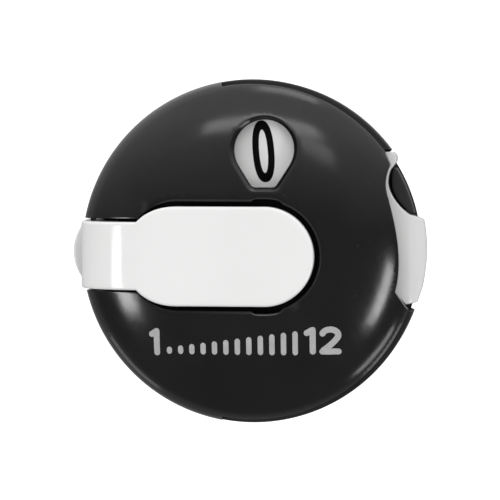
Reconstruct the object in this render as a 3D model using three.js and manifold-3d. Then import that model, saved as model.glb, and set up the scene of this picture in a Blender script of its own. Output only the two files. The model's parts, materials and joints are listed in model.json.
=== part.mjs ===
// Round hand tally counter, 40 mm across, that counts presses from 0 to 12.
// A thumb button steps a number disc, and a side lever lets the disc spring back to 0.
//
// Frame, in millimetres: +X to the right of the face, +Y to the top of the face, +Z out of it.
// The origin is on the flat back of the belt clip, behind the middle of the round case.
import * as THREE from 'three';
import { mergeVertices } from 'three/addons/utils/BufferGeometryUtils.js';
import Module from 'manifold-3d';

const wasm = await Module();
wasm.setup();

// ---- Driving dimensions -------------------------------------------------------------------

// Case and cover
const BODY_R = 20;
const WALL = 1.1;
const BACK_Z = 4;
const FLOOR_Z = 5.2;
const RIM_Z = 10;
const PART_GAP = 0.05;
const DOME_FOOT_Z = 10.3;
const DOME_RISE = 5.4;
const INNER_RISE = 4.3;
const DOME_POWER = 2.6;
const COVER_SET_BACK = 0.6;
const SET_BACK_ANGLE = 100;

// Number disc and what turns with it
const AXIS_X = 2.35;
const AXIS_Y = 2;
const DISC_R = 13.6;
const DISC_TOP_Z = 12.2;
const DISC_THICKNESS = 1;
const POSITIONS = 14;
const PITCH = (2 * Math.PI) / POSITIONS;
const CUP_R = 4.9;
const CUP_WALL = 0.6;
const WEB_Z = 9.8;
const WEB_THICKNESS = 0.8;
const SLEEVE_R = 2;
const AXLE_R = 1;
const RUN_GAP = 0.06;
const PIN_GAP = 0.03;
const CLICK_R = 5.4;
const CLICK_ROOT_R = 5.1;
const CLICK_Z = 7.4;
const CLICK_THICKNESS = 1.4;
const CLICK_LEAF_Y = -5.2;
const STOP_ANGLE = 200;
const STOP_HALF_ANGLE = 12.6;
const STOP_R = 10.5;

// Window over the disc
const WINDOW_X = 1.85;
const WINDOW_Y = 11.85;
const WINDOW_R = 3.43;
const WINDOW_FOOT_Y = 7.53;
const WINDOW_FOOT_HALF = 0.95;
const WINDOW_CORNER = [1.56, 0.36];
const WINDOW_BLEND_X = 1.355;
const WINDOW_FLARE_Z = 14.1;
const WINDOW_FLARE = 1.36;

// The line along X that the button, its hinge and the belt clip lie on
const MID_Y = -0.35;

// Count button: a pill on a neck that hooks over the left rim to its hinge pin
const PILL_R = 5.7;
const PILL_X = 2.05;
const PILL_LEFT_X = -8.5;
const NECK_X = -12.4;
const NECK_HALF = 3.9;
const NECK_END_X = -21;
const BUTTON_TOP_Z = 16.8;
const BUTTON_THICKNESS = 1.5;
const SLOT_GAP = 0.55;
const NECK_GAP = 0.33;
const SLOT_WALL = 0.9;
const HINGE_X = -18;
const HINGE_Z = 8.6;
const NECK_ROOM_Z = 6.3;
const BARREL_R = 2;
const SPRING_ROOM_HALF = 1.5;
const PIN_R = 0.6;
const CHEEK_WIDTH = 1.45;
const GUARD_Z = 12.6;
const GUARD_THICKNESS = 0.55;

// Reset lever in the right side of the case
const LEVER_PIN_X = 13.3;
const LEVER_PIN_Y = 10.2;
const LEVER_PIN_R = 0.7;
const LEVER_FOOT_Z = 6;
const LEVER_TOP_Z = 9.85;
const LEVER_ROOM_X = 14.6;
const LEVER_ROOM_Y = [-6.9, 11.85];
const LEVER_ROOM_Z = 5.75;
const LEDGE_R = 19.35;
const LEDGE_TOP_Z = 9.7;
const LEVER_BOSS_R = 1.3;
const LEVER_BOSS_Z = 6.8;
const RESET_SPRING_Z = 7.2;
const RESET_SEAT_X = 13;

// Belt clip on the back
const CLIP_PIN_X = -9.5;
const CLIP_PIN_Z = 2.75;
const CLIP_THICKNESS = 1.5;
const CLIP_LUG_R = 1.1;
const CLIP_LUG_Y = 3.3;
const CLIP_LUG_WIDTH = 1;
const CLIP_EAR_R = 1.15;
const CLIP_EAR_Y = 2.1;
const CLIP_EAR_WIDTH = 1;
const CLIP_TAB_X = -22.35;
const CLIP_TAB_R = 5.6;
const CLIP_JAW_X = 14;
const CLIP_JAW_R = 5.5;

// Case screws, by their distance from the centre and their angles
const SCREW_RING_R = 17;
const SCREW_ANGLES = [135, 225, 300];
const SCREW_R = 0.7;
const SCREW_HEAD_R = 1.5;
const PILLAR_R = 1.9;

// ---- Solids -------------------------------------------------------------------------------

const degrees = (angle) => (angle * Math.PI) / 180;

const polar = (radius, angle) => [radius * Math.cos(angle), radius * Math.sin(angle)];

// A closed mesh with shared vertices and no collapsed triangles.
function toSolid(geometry) {
  const bare = geometry.clone();
  bare.deleteAttribute('normal');
  bare.deleteAttribute('uv');
  const merged = mergeVertices(bare, 1e-4);
  const corners = merged.index.array;
  const kept = [];
  for (let i = 0; i < corners.length; i += 3) {
    const [a, b, c] = [corners[i], corners[i + 1], corners[i + 2]];
    if (a !== b && b !== c && a !== c) {
      kept.push(a, b, c);
    }
  }
  return new wasm.Manifold(new wasm.Mesh({
    numProp: 3,
    vertProperties: new Float32Array(merged.attributes.position.array),
    triVerts: new Uint32Array(kept),
  }));
}

function toGeometry(solid) {
  const mesh = solid.getMesh();
  const geometry = new THREE.BufferGeometry();
  geometry.setAttribute('position', new THREE.BufferAttribute(new Float32Array(mesh.vertProperties), 3));
  geometry.setIndex(new THREE.BufferAttribute(new Uint32Array(mesh.triVerts), 1));
  geometry.computeVertexNormals();
  return geometry;
}

// A profile of [radius, z] turned about a vertical line through (x, y).
function turned(profile, segments, x = 0, y = 0) {
  const points = profile.map(([radius, z]) => new THREE.Vector2(radius, z));
  return toSolid(new THREE.LatheGeometry(points, segments).rotateX(Math.PI / 2).translate(x, y, 0));
}

function post(x, y, radius, bottom, top, segments = 20) {
  return turned([[0, bottom], [radius, bottom], [radius, top], [0, top]], segments, x, y);
}

// A round bar along Y.
function crossBar(x, z, radius, y0, y1, segments = 20) {
  const bar = new THREE.CylinderGeometry(radius, radius, y1 - y0, segments);
  return toSolid(bar.translate(x, (y0 + y1) / 2, z));
}

function block([x0, x1], [y0, y1], [z0, z1]) {
  const box = new THREE.BoxGeometry(x1 - x0, y1 - y0, z1 - z0);
  return toSolid(box.translate((x0 + x1) / 2, (y0 + y1) / 2, (z0 + z1) / 2));
}

// A plan outline raised from one height to another.
function prism(shape, bottom, top, curveSegments = 10) {
  const options = { depth: top - bottom, bevelEnabled: false, curveSegments };
  return toSolid(new THREE.ExtrudeGeometry(shape, options).translate(0, 0, bottom));
}

// A side outline in X and Z, as wide as y0 to y1.
function sideways(shape, y0, y1, curveSegments = 10) {
  const options = { depth: y1 - y0, bevelEnabled: false, curveSegments };
  const slab = new THREE.ExtrudeGeometry(shape, options);
  return toSolid(slab.rotateX(Math.PI / 2).translate(0, y1, 0));
}

function shapeOf(points) {
  return new THREE.Shape(points.map(([x, y]) => new THREE.Vector2(x, y)));
}

// A piece of a flat ring about (x, y), with its angles in radians.
function ringSector(x, y, inner, outer, start, end) {
  const shape = new THREE.Shape();
  shape.absarc(x, y, outer, start, end, false);
  shape.absarc(x, y, inner, end, start, true);
  return shape;
}

function union(solids) {
  return solids.reduce((all, solid) => all.add(solid));
}

// Round wire along a three.js curve.
function wire(curve, radius, steps) {
  const section = new THREE.Shape();
  section.absarc(0, 0, radius, 0, 2 * Math.PI, false);
  const options = { steps, bevelEnabled: false, extrudePath: curve, curveSegments: 3 };
  return toSolid(new THREE.ExtrudeGeometry(section, options));
}

// ---- Outlines -----------------------------------------------------------------------------

// The button's plan, grown by a gap round the pill and a gap beside the neck.
function buttonOutline(pillGap, neckGap) {
  const pill = PILL_R + pillGap;
  const neck = NECK_HALF + neckGap;
  const bend = (NECK_X - PILL_LEFT_X) / 2;
  const shape = new THREE.Shape();
  shape.moveTo(NECK_END_X, -neck);
  shape.lineTo(NECK_X, -neck);
  shape.bezierCurveTo(NECK_X - bend, -neck, PILL_LEFT_X + bend, -pill, PILL_LEFT_X, -pill);
  shape.absarc(PILL_X, 0, pill, -Math.PI / 2, Math.PI / 2, false);
  shape.lineTo(PILL_LEFT_X, pill);
  shape.bezierCurveTo(PILL_LEFT_X + bend, pill, NECK_X - bend, neck, NECK_X, neck);
  shape.lineTo(NECK_END_X, neck);
  return shape;
}

function buttonPrism(pillGap, neckGap, bottom, top, curveSegments = 10) {
  return prism(buttonOutline(pillGap, neckGap), bottom, top, curveSegments).translate(0, MID_Y, 0);
}

function windowOutline() {
  const shape = new THREE.Shape();
  const start = degrees(-32);
  const [left, right] = [WINDOW_X - WINDOW_FOOT_HALF, WINDOW_X + WINDOW_FOOT_HALF];
  const [cornerX, cornerUp] = WINDOW_CORNER;
  const cornerY = WINDOW_FOOT_Y + cornerUp;
  shape.moveTo(left, WINDOW_FOOT_Y);
  shape.lineTo(right, WINDOW_FOOT_Y);
  shape.quadraticCurveTo(WINDOW_X + WINDOW_BLEND_X, WINDOW_FOOT_Y, WINDOW_X + cornerX, cornerY);
  shape.absarc(WINDOW_X, WINDOW_Y, WINDOW_R, start, Math.PI - start, false);
  shape.lineTo(WINDOW_X - cornerX, cornerY);
  shape.quadraticCurveTo(WINDOW_X - WINDOW_BLEND_X, WINDOW_FOOT_Y, left, WINDOW_FOOT_Y);
  return shape;
}

// The bite in the cover's right edge over the reset lever; shift moves its edge inwards.
function leverBite(shift) {
  const outside = BODY_R + 2;
  const shape = new THREE.Shape();
  shape.moveTo(outside, 11.85 + shift);
  shape.lineTo(15.4 - shift, 11.85 + shift);
  shape.lineTo(16.15 - shift, 10.15);
  shape.quadraticCurveTo(15.3 - shift, 8.2, 15.9 - shift, 6.5);
  shape.quadraticCurveTo(17.95 - shift, -0.2, 16.8 - shift, -4.5);
  shape.lineTo(18.1 - shift, -6.5 - shift);
  shape.lineTo(outside, -6.5 - shift);
  return shape;
}

// The reset lever's plan: tab and pin boss at the top, thin arm, and thumb pad.
function leverOutline() {
  const shape = new THREE.Shape();
  shape.moveTo(15.1, 11.6);
  shape.lineTo(16.25, 11.6);
  shape.quadraticCurveTo(16.9, 11.3, 16.7, 10.5);
  shape.quadraticCurveTo(16.5, 10.1, 16.15, 9.5);
  shape.quadraticCurveTo(15.6, 7.9, 16.4, 6.5);
  shape.quadraticCurveTo(17, 5.3, 18.2, 4.4);
  shape.quadraticCurveTo(19, 4.1, 19.85, 3.7);
  shape.quadraticCurveTo(20.6, 0, 19.7, -4.2);
  shape.lineTo(19.15, -5.85);
  shape.lineTo(17.85, -6.1);
  shape.lineTo(16.5, -4.75);
  shape.quadraticCurveTo(17.1, 0.6, 15.7, 5.4);
  shape.quadraticCurveTo(14.9, 8, 15.35, 9.6);
  return shape;
}

// The dark ledge between the lever's neck and the edge of the case.
function ledgeOutline() {
  const shape = new THREE.Shape();
  shape.moveTo(16.5, 9.7);
  shape.quadraticCurveTo(15.9, 8, 16.62, 6.62);
  shape.quadraticCurveTo(17.2, 5.45, 18.35, 4.6);
  shape.lineTo(18.78, 4.5);
  shape.absarc(0, 0, LEDGE_R, degrees(13.5), degrees(30), false);
  return shape;
}

// A strip of constant width along a bent line.
function stripOutline(line, half) {
  const edge = (side) => line.map(([x, y], i) => {
    const [x0, y0] = line[Math.max(0, i - 1)];
    const [x1, y1] = line[Math.min(line.length - 1, i + 1)];
    const reach = Math.hypot(x1 - x0, y1 - y0);
    return [x - (side * half * (y1 - y0)) / reach, y + (side * half * (x1 - x0)) / reach];
  });
  return shapeOf([...edge(-1), ...edge(1).reverse()]);
}

// The height of a dome over a round plan, lower towards its edge.
function domeHeight(radius, edge, rise) {
  return DOME_FOOT_Z + rise * Math.sqrt(Math.max(0, 1 - (radius / edge) ** DOME_POWER));
}

function domeProfile(edge, rise, bottom, steps) {
  const profile = [[0, bottom], [edge, bottom]];
  for (let i = 0; i <= steps; i += 1) {
    const radius = edge * Math.cos((i / steps) * (Math.PI / 2));
    profile.push([i === steps ? 0 : radius, domeHeight(radius, edge, rise)]);
  }
  return profile;
}

const screwSpots = SCREW_ANGLES.map((angle) => polar(SCREW_RING_R, degrees(angle)));

// ---- Case and cover -----------------------------------------------------------------------

function caseShell() {
  const inner = BODY_R - WALL;
  return turned([
    [0, BACK_Z], [16, BACK_Z], [19.4, 5.5], [BODY_R, 6.4], [BODY_R, RIM_Z],
    [inner, RIM_Z], [inner, 6.5], [17.2, FLOOR_Z], [0, FLOOR_Z],
  ], 60);
}

// Two cheeks that hold the button's hinge pin, one each side of the neck.
function hingeCheeks() {
  const near = NECK_HALF + NECK_GAP;
  const far = near + CHEEK_WIDTH;
  const span = [HINGE_X - 1.1, HINGE_X + 1.5];
  const height = [5.4, RIM_Z];
  const pair = union([block(span, [near, far], height), block(span, [-far, -near], height)]);
  return pair.translate(0, MID_Y, 0);
}

function clipLugs() {
  const lugs = [];
  for (const side of [-1, 1]) {
    const inner = side * CLIP_LUG_Y;
    const outer = side * (CLIP_LUG_Y + CLIP_LUG_WIDTH);
    const [y0, y1] = [Math.min(inner, outer), Math.max(inner, outer)];
    lugs.push(crossBar(CLIP_PIN_X, CLIP_PIN_Z, CLIP_LUG_R, y0, y1));
    const span = [CLIP_PIN_X - CLIP_LUG_R, CLIP_PIN_X + CLIP_LUG_R];
    lugs.push(block(span, [y0, y1], [CLIP_PIN_Z, BACK_Z + 0.4]));
  }
  return union(lugs).translate(0, MID_Y, 0);
}

// Posts and seats that stand on the case floor.
function caseFittings() {
  const root = FLOOR_Z - 0.2;
  const stop = ringSector(
    AXIS_X, AXIS_Y, STOP_R - 0.9, STOP_R + 0.9,
    degrees(STOP_ANGLE - STOP_HALF_ANGLE), degrees(STOP_ANGLE + STOP_HALF_ANGLE),
  );
  const [springPostX, springPostY] = polar(6.9, degrees(60));
  const leafTop = CLICK_Z + CLICK_THICKNESS + 0.1;
  const leafPost = ([y0, y1]) => block([-7.4, -6], [CLICK_LEAF_Y + y0, CLICK_LEAF_Y + y1], [root, leafTop]);
  return union([
    ...screwSpots.map(([x, y]) => post(x, y, PILLAR_R, root, RIM_Z)),
    post(AXIS_X, AXIS_Y, 2.2, root, 5.45),
    prism(stop, root, 10.4, 4),
    post(LEVER_PIN_X, LEVER_PIN_Y, LEVER_BOSS_R, root, LEVER_BOSS_Z - 0.2),
    block([RESET_SEAT_X - 0.8, RESET_SEAT_X], [-1.6, 1.6], [root, 9]),
    leafPost([-1.4, -0.2]),
    leafPost([0.2, 1.2]),
    post(AXIS_X + springPostX, AXIS_Y + springPostY, 0.6, root, 7, 12),
  ]);
}

// Holes for the pins, and counterbores for the screws from behind.
function caseHoles() {
  const hingeReach = NECK_HALF + NECK_GAP + 1.1;
  const clipReach = CLIP_LUG_Y + CLIP_LUG_WIDTH + 1;
  return union([
    crossBar(HINGE_X, HINGE_Z, PIN_R + PIN_GAP, MID_Y - hingeReach, MID_Y + hingeReach),
    crossBar(CLIP_PIN_X, CLIP_PIN_Z, PIN_R + PIN_GAP, MID_Y - clipReach, MID_Y + clipReach),
    post(AXIS_X, AXIS_Y, AXLE_R + PIN_GAP, 4.4, 6),
    post(LEVER_PIN_X, LEVER_PIN_Y, LEVER_PIN_R + PIN_GAP, 5.1, 7),
    ...screwSpots.map(([x, y]) => post(x, y, SCREW_R + 0.15, 3, RIM_Z + 1)),
    ...screwSpots.map(([x, y]) => post(x, y, SCREW_HEAD_R + 0.2, 3, 5.6)),
  ]);
}

function rearCase() {
  const neck = NECK_HALF + NECK_GAP;
  const across = [MID_Y - neck, MID_Y + neck];
  const neckRoom = block([-BODY_R - 1, HINGE_X + 2.5], across, [NECK_ROOM_Z, RIM_Z + 1]);
  const leverRoom = block([LEVER_ROOM_X, BODY_R + 1], LEVER_ROOM_Y, [LEVER_ROOM_Z, RIM_Z + 1]);
  return caseShell()
    .add(hingeCheeks())
    .subtract(neckRoom.add(leverRoom))
    .add(caseFittings())
    .add(prism(ledgeOutline(), LEVER_ROOM_Z - 0.3, LEDGE_TOP_Z, 8))
    .add(clipLugs())
    .subtract(caseHoles());
}

function windowCut() {
  const straight = prism(windowOutline(), RIM_Z, BUTTON_TOP_Z, 12);
  const options = { depth: 2, bevelEnabled: false, curveSegments: 12 };
  const flare = new THREE.ExtrudeGeometry(windowOutline(), options);
  const places = flare.attributes.position;
  const middle = (WINDOW_Y + WINDOW_R + WINDOW_FOOT_Y) / 2;
  for (let i = 0; i < places.count; i += 1) {
    const grow = places.getZ(i) > 1 ? WINDOW_FLARE : 1;
    places.setX(i, WINDOW_X + (places.getX(i) - WINDOW_X) * grow);
    places.setY(i, middle + (places.getY(i) - middle) * grow);
  }
  return straight.add(toSolid(flare.translate(0, 0, WINDOW_FLARE_Z)));
}

function frontCover() {
  const bottom = RIM_Z + PART_GAP;
  const dome = turned(domeProfile(BODY_R, DOME_RISE, bottom, 9), 60);
  const hollow = turned(domeProfile(BODY_R - WALL, INNER_RISE, bottom - 1, 6), 48)
    .subtract(prism(leverBite(0.6), bottom - 2, BUTTON_TOP_Z));
  const slotWalls = buttonPrism(SLOT_GAP + SLOT_WALL, NECK_GAP + SLOT_WALL, 13.2, BUTTON_TOP_Z);
  const pillars = union(screwSpots.map(([x, y]) => post(x, y, PILLAR_R, bottom, 13.4)));
  const setBack = ringSector(
    0, 0, BODY_R - COVER_SET_BACK, BODY_R + 1, degrees(-SET_BACK_ANGLE), degrees(SET_BACK_ANGLE),
  );
  const removed = union([
    prism(leverBite(0), bottom - 1, BUTTON_TOP_Z),
    buttonPrism(SLOT_GAP, NECK_GAP, bottom - 1, BUTTON_TOP_Z),
    prism(setBack, bottom - 1, BUTTON_TOP_Z, 40),
    windowCut(),
    ...screwSpots.map(([x, y]) => post(x, y, SCREW_R + 0.04, bottom - 1, 12.6)),
  ]);
  return dome.subtract(hollow).add(slotWalls.add(pillars).intersect(dome)).subtract(removed);
}

// A plate under the button that keeps dirt and light off the disc, open where the pawl passes.
function guardPlate() {
  const top = GUARD_Z + GUARD_THICKNESS;
  const height = [GUARD_Z - 1, top + 1];
  const pawlRoom = block([AXIS_X - 4.8, AXIS_X - 2], [AXIS_Y - 1.3, AXIS_Y + 3], height);
  return buttonPrism(SLOT_GAP + SLOT_WALL, NECK_GAP + SLOT_WALL, GUARD_Z, top)
    .intersect(block([-13, 12], [-8, 8], height))
    .subtract(pawlRoom);
}

function caseScrew(x, y) {
  const driveSlot = block([x - 1.2, x + 1.2], [y - 0.2, y + 0.2], [4, 4.95]);
  const body = turned([
    [0, 4.6], [1.2, 4.6], [SCREW_HEAD_R, 4.8], [SCREW_HEAD_R, 5.5],
    [SCREW_R, 5.5], [SCREW_R, 11.9], [0, 12.3],
  ], 16, x, y);
  return body.subtract(driveSlot);
}

// ---- Number disc --------------------------------------------------------------------------

function numberDisc() {
  const bore = SLEEVE_R + RUN_GAP;
  const outerCup = CUP_R + CUP_WALL;
  const under = DISC_TOP_Z - DISC_THICKNESS;
  const disc = turned([
    [bore, WEB_Z], [outerCup, WEB_Z], [outerCup, under], [DISC_R, under], [DISC_R, DISC_TOP_Z],
    [CUP_R, DISC_TOP_Z], [CUP_R, WEB_Z + WEB_THICKNESS], [bore, WEB_Z + WEB_THICKNESS], [bore, WEB_Z],
  ], 56, AXIS_X, AXIS_Y);
  const middle = degrees(STOP_ANGLE) + PITCH;
  const half = degrees(STOP_HALF_ANGLE);
  const lug = ringSector(AXIS_X, AXIS_Y, STOP_R - 0.7, STOP_R + 0.7, middle - half, middle + half);
  return disc.add(prism(lug, 9.7, under + 0.3, 4));
}

// Saw teeth that stand up from a ring, one to each number.
function driveRatchet() {
  const base = turned([
    [SLEEVE_R + RUN_GAP, 10.65], [4.7, 10.65], [4.7, 11.5], [SLEEVE_R + RUN_GAP, 11.5],
    [SLEEVE_R + RUN_GAP, 10.65],
  ], 42, AXIS_X, AXIS_Y);
  const teeth = [];
  for (let i = 0; i < POSITIONS; i += 1) {
    const tooth = new THREE.BoxGeometry(1, 1, 1).translate(0.5, 0.5, 0.5);
    const places = tooth.attributes.position;
    for (let j = 0; j < places.count; j += 1) {
      const [u, v, w] = [places.getX(j), places.getY(j), places.getZ(j)];
      const [x, y] = polar(2.5 + 2.1 * u, PITCH * (i + 0.98 * v));
      places.setXYZ(j, AXIS_X + x, AXIS_Y + y, 11.3 + w * (0.25 + 0.65 * (1 - v)));
    }
    teeth.push(toSolid(tooth));
  }
  return union([base, ...teeth]);
}

// The sleeve that turns on the axle, with a wheel of V notches for the click spring.
function clickWheel() {
  const corners = [[CLICK_ROOT_R, 0], [CLICK_R, 0.34 * PITCH], [CLICK_R, 0.66 * PITCH]];
  const outline = [];
  for (let i = 0; i < POSITIONS; i += 1) {
    for (const [radius, turn] of corners) {
      const [x, y] = polar(radius, i * PITCH + turn - Math.PI / 2);
      outline.push([AXIS_X + x, AXIS_Y + y]);
    }
  }
  const bore = AXLE_R + RUN_GAP;
  const sleeve = turned([
    [bore, 5.55], [SLEEVE_R, 5.55], [SLEEVE_R, 11.9], [bore, 11.9], [bore, 5.55],
  ], 28, AXIS_X, AXIS_Y);
  const wheel = prism(shapeOf(outline), CLICK_Z, CLICK_Z + CLICK_THICKNESS)
    .subtract(post(AXIS_X, AXIS_Y, (bore + SLEEVE_R) / 2, CLICK_Z - 1, 10, 28));
  return sleeve.add(wheel);
}

function axlePin() {
  return turned([
    [0, 4.45], [0.8, 4.45], [AXLE_R, 4.65], [AXLE_R, 12.25], [0.8, 12.45], [0, 12.45],
  ], 24, AXIS_X, AXIS_Y);
}

// An open spring ring in the top of the axle.
function axleClip() {
  const ring = turned([
    [AXLE_R + PIN_GAP, 12], [2.1, 12], [2.1, 12.25], [AXLE_R + PIN_GAP, 12.25], [AXLE_R + PIN_GAP, 12],
  ], 24, AXIS_X, AXIS_Y);
  return ring.subtract(block([AXIS_X, AXIS_X + 3], [AXIS_Y - 0.6, AXIS_Y + 0.6], [11, 13]));
}

// ---- Springs ------------------------------------------------------------------------------

// A flat spiral from the sleeve out to its post, wound with the count.
function returnSpring() {
  const turns = 4;
  const steps = turns * 22;
  const [inner, outer, half] = [2.35, 6.1, 0.15];
  const edge = (offset) => {
    const points = [];
    for (let i = 0; i <= steps; i += 1) {
      const radius = inner + ((outer - inner) * i) / steps + offset;
      const [x, y] = polar(radius, degrees(60) - 2 * Math.PI * turns * (1 - i / steps));
      points.push([AXIS_X + x, AXIS_Y + y]);
    }
    return points;
  };
  return prism(shapeOf([...edge(half), ...edge(-half).reverse()]), 5.85, 6.85);
}

// A leaf spring with a nose in one notch of the click wheel, and a ramp that the reset lever's
// finger slides on to press it clear.
function clickSpring() {
  const y = CLICK_LEAF_Y;
  const leaf = stripOutline([[-7.3, y], [6, y], [6.9, y + 1.1], [8.3, y - 0.4]], 0.15);
  const nose = shapeOf([
    [AXIS_X + 1, y], [AXIS_X + 0.2, AXIS_Y - CLICK_ROOT_R - 0.06],
    [AXIS_X - 0.2, AXIS_Y - CLICK_ROOT_R - 0.06], [AXIS_X - 1, y],
  ]);
  const top = CLICK_Z + CLICK_THICKNESS;
  return prism(leaf, CLICK_Z, top).add(prism(nose, CLICK_Z, top));
}

// A coil about a line along X.
class CoilAlongX extends THREE.Curve {
  constructor(x0, x1, y, z, radius, turns) {
    super();
    Object.assign(this, { x0, x1, y, z, radius, turns });
  }

  getPoint(t) {
    const angle = 2 * Math.PI * this.turns * t;
    const [across, up] = polar(this.radius, angle);
    return new THREE.Vector3(this.x0 + (this.x1 - this.x0) * t, this.y + across, this.z + up);
  }
}

function resetSpring() {
  const [x0, x1, turns, radius] = [RESET_SEAT_X + 0.25, 16.3, 4.5, 1.2];
  return wire(new CoilAlongX(x0, x1, 0, RESET_SPRING_Z, radius, turns), 0.18, turns * 12);
}

// A torsion spring about a line along Y: a leg, a coil and a second leg.
class TorsionCoil extends THREE.Curve {
  constructor(x, z, radius, halfWidth, turns, startAngle, legs) {
    super();
    Object.assign(this, { x, z, radius, halfWidth, turns, startAngle, legs });
  }

  getPoint(t) {
    const legShare = 0.14;
    const [first, last] = this.legs;
    const inCoil = THREE.MathUtils.clamp((t - legShare) / (1 - 2 * legShare), 0, 1);
    const angle = this.startAngle + 2 * Math.PI * this.turns * inCoil;
    const [across, up] = polar(this.radius, angle);
    const y = this.halfWidth * (2 * inCoil - 1);
    let run = 0;
    if (t < legShare) {
      run = -first * (1 - t / legShare);
    } else if (t > 1 - legShare) {
      run = (last * (t - 1 + legShare)) / legShare;
    }
    const ahead = run * Math.sign(this.turns);
    const x = this.x + across - ahead * Math.sin(angle);
    return new THREE.Vector3(x, y, this.z + up + ahead * Math.cos(angle));
  }
}

function buttonSpring() {
  const coil = new TorsionCoil(HINGE_X, HINGE_Z, 1.1, 1.05, -3.5, degrees(-90), [2.2, 2.2]);
  return wire(coil, 0.18, 60).translate(0, MID_Y, 0);
}

function clipSpring() {
  const coil = new TorsionCoil(CLIP_PIN_X, CLIP_PIN_Z, 0.92, 1.6, -4.5, degrees(-90), [4.5, 4.5]);
  return wire(coil, 0.16, 72).translate(0, MID_Y, 0);
}

// ---- Button -------------------------------------------------------------------------------

function buttonSide() {
  const under = BUTTON_TOP_Z - BUTTON_THICKNESS;
  const shape = new THREE.Shape();
  shape.moveTo(PILL_X + PILL_R + 1, BUTTON_TOP_Z);
  shape.lineTo(-10.6, BUTTON_TOP_Z);
  shape.bezierCurveTo(-15.6, 16.7, -19.95, 14.6, -19.95, 10.6);
  shape.lineTo(HINGE_X - BARREL_R, HINGE_Z);
  shape.lineTo(HINGE_X, HINGE_Z);
  shape.lineTo(HINGE_X - 0.3, 10.9);
  shape.bezierCurveTo(HINGE_X, 13.4, -14.8, under, -10.6, under);
  shape.lineTo(PILL_X + PILL_R + 1, under);
  return shape;
}

function countButton() {
  const strip = sideways(buttonSide(), -PILL_R - 1, PILL_R + 1, 10);
  const barrel = crossBar(HINGE_X, HINGE_Z, BARREL_R, -PILL_R, PILL_R, 28);
  const plan = prism(buttonOutline(0, 0), 0, BUTTON_TOP_Z + 1, 12);
  const room = [-SPRING_ROOM_HALF, SPRING_ROOM_HALF];
  const springRoom = crossBar(HINGE_X, HINGE_Z, SPRING_ROOM_HALF, ...room)
    .add(block([HINGE_X, HINGE_X + 2.4], room, [6, 10.4]));
  return strip.add(barrel)
    .intersect(plan)
    .subtract(springRoom)
    .subtract(crossBar(HINGE_X, HINGE_Z, PIN_R + RUN_GAP, -PILL_R, PILL_R))
    .translate(0, MID_Y, 0);
}

// A springy tongue under the button that slants down to the drive ratchet.
function drivePawl() {
  const top = BUTTON_TOP_Z - BUTTON_THICKNESS - PART_GAP;
  const outline = shapeOf([
    [0, 12.35], [-1.65, top], [-2.9, top], [-2.9, top - 0.3], [-1.8, top - 0.3], [-0.3, 12.3],
  ]);
  const options = { depth: 1.6, bevelEnabled: false };
  const tongue = new THREE.ExtrudeGeometry(outline, options).rotateX(Math.PI / 2).rotateZ(-Math.PI / 2);
  return toSolid(tongue.translate(AXIS_X - 2.6, AXIS_Y, 0));
}

function buttonHingePin() {
  const reach = NECK_HALF + NECK_GAP + 1;
  return crossBar(HINGE_X, HINGE_Z, PIN_R, MID_Y - reach, MID_Y + reach);
}

// ---- Reset lever --------------------------------------------------------------------------

function resetLever() {
  const plan = prism(leverOutline(), LEVER_FOOT_Z, LEVER_TOP_Z, 8);
  const crown = shapeOf([
    [12, 5], [20.2, 5], [20.6, 6.6], [20.4, 8.1], [19.7, 9.1], [18.4, LEVER_TOP_Z], [12, LEVER_TOP_Z],
  ]);
  const web = block([LEVER_PIN_X, 15.9], [10.2, 11.3], [LEVER_BOSS_Z, LEVER_TOP_Z - 0.4]);
  const boss = post(LEVER_PIN_X, LEVER_PIN_Y, LEVER_BOSS_R - 0.05, LEVER_BOSS_Z, LEVER_TOP_Z - 0.2);
  const finger = shapeOf([
    [17.4, -3.9], [9, -3.9], [8.3, -4.3], [8.2, -5], [8.6, -5.2], [9.4, -4.7], [17.4, -5],
  ]);
  const pinHole = post(LEVER_PIN_X, LEVER_PIN_Y, LEVER_PIN_R + RUN_GAP, 5, 11);
  return plan.intersect(sideways(crown, -9, 13))
    .add(web)
    .add(boss)
    .add(prism(finger, CLICK_Z, CLICK_Z + CLICK_THICKNESS))
    .subtract(pinHole);
}

function resetLeverPin() {
  return post(LEVER_PIN_X, LEVER_PIN_Y, LEVER_PIN_R, 5.15, 9.8);
}

// ---- Belt clip ----------------------------------------------------------------------------

function clipPlan() {
  const tab = CLIP_TAB_X + CLIP_TAB_R;
  const jaw = CLIP_JAW_X - CLIP_JAW_R;
  const shape = new THREE.Shape();
  shape.absarc(tab, 0, CLIP_TAB_R, Math.PI / 2, (3 * Math.PI) / 2, false);
  shape.absarc(jaw, 0, CLIP_JAW_R, -Math.PI / 2, Math.PI / 2, false);
  return shape;
}

function beltClip() {
  const side = shapeOf([
    [-12.5, 0], [CLIP_JAW_X + 1, 0], [CLIP_JAW_X + 1, CLIP_THICKNESS], [12.6, CLIP_THICKNESS],
    [11.8, 3.65], [11.1, 3.65], [10.2, CLIP_THICKNESS], [-12.5, CLIP_THICKNESS],
    [CLIP_TAB_X - 0.5, 3.6], [CLIP_TAB_X - 0.5, 2.1],
  ]);
  const ears = [];
  for (const y0 of [CLIP_EAR_Y, -CLIP_EAR_Y - CLIP_EAR_WIDTH]) {
    const y1 = y0 + CLIP_EAR_WIDTH;
    ears.push(crossBar(CLIP_PIN_X, CLIP_PIN_Z, CLIP_EAR_R, y0, y1));
    ears.push(block([CLIP_PIN_X - CLIP_EAR_R, CLIP_PIN_X + CLIP_EAR_R], [y0, y1], [1.2, CLIP_PIN_Z]));
  }
  return sideways(side, -7, 7)
    .intersect(prism(clipPlan(), -1, 5, 14))
    .add(union(ears))
    .subtract(crossBar(CLIP_PIN_X, CLIP_PIN_Z, PIN_R + RUN_GAP, -4, 4))
    .translate(0, MID_Y, 0);
}

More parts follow.
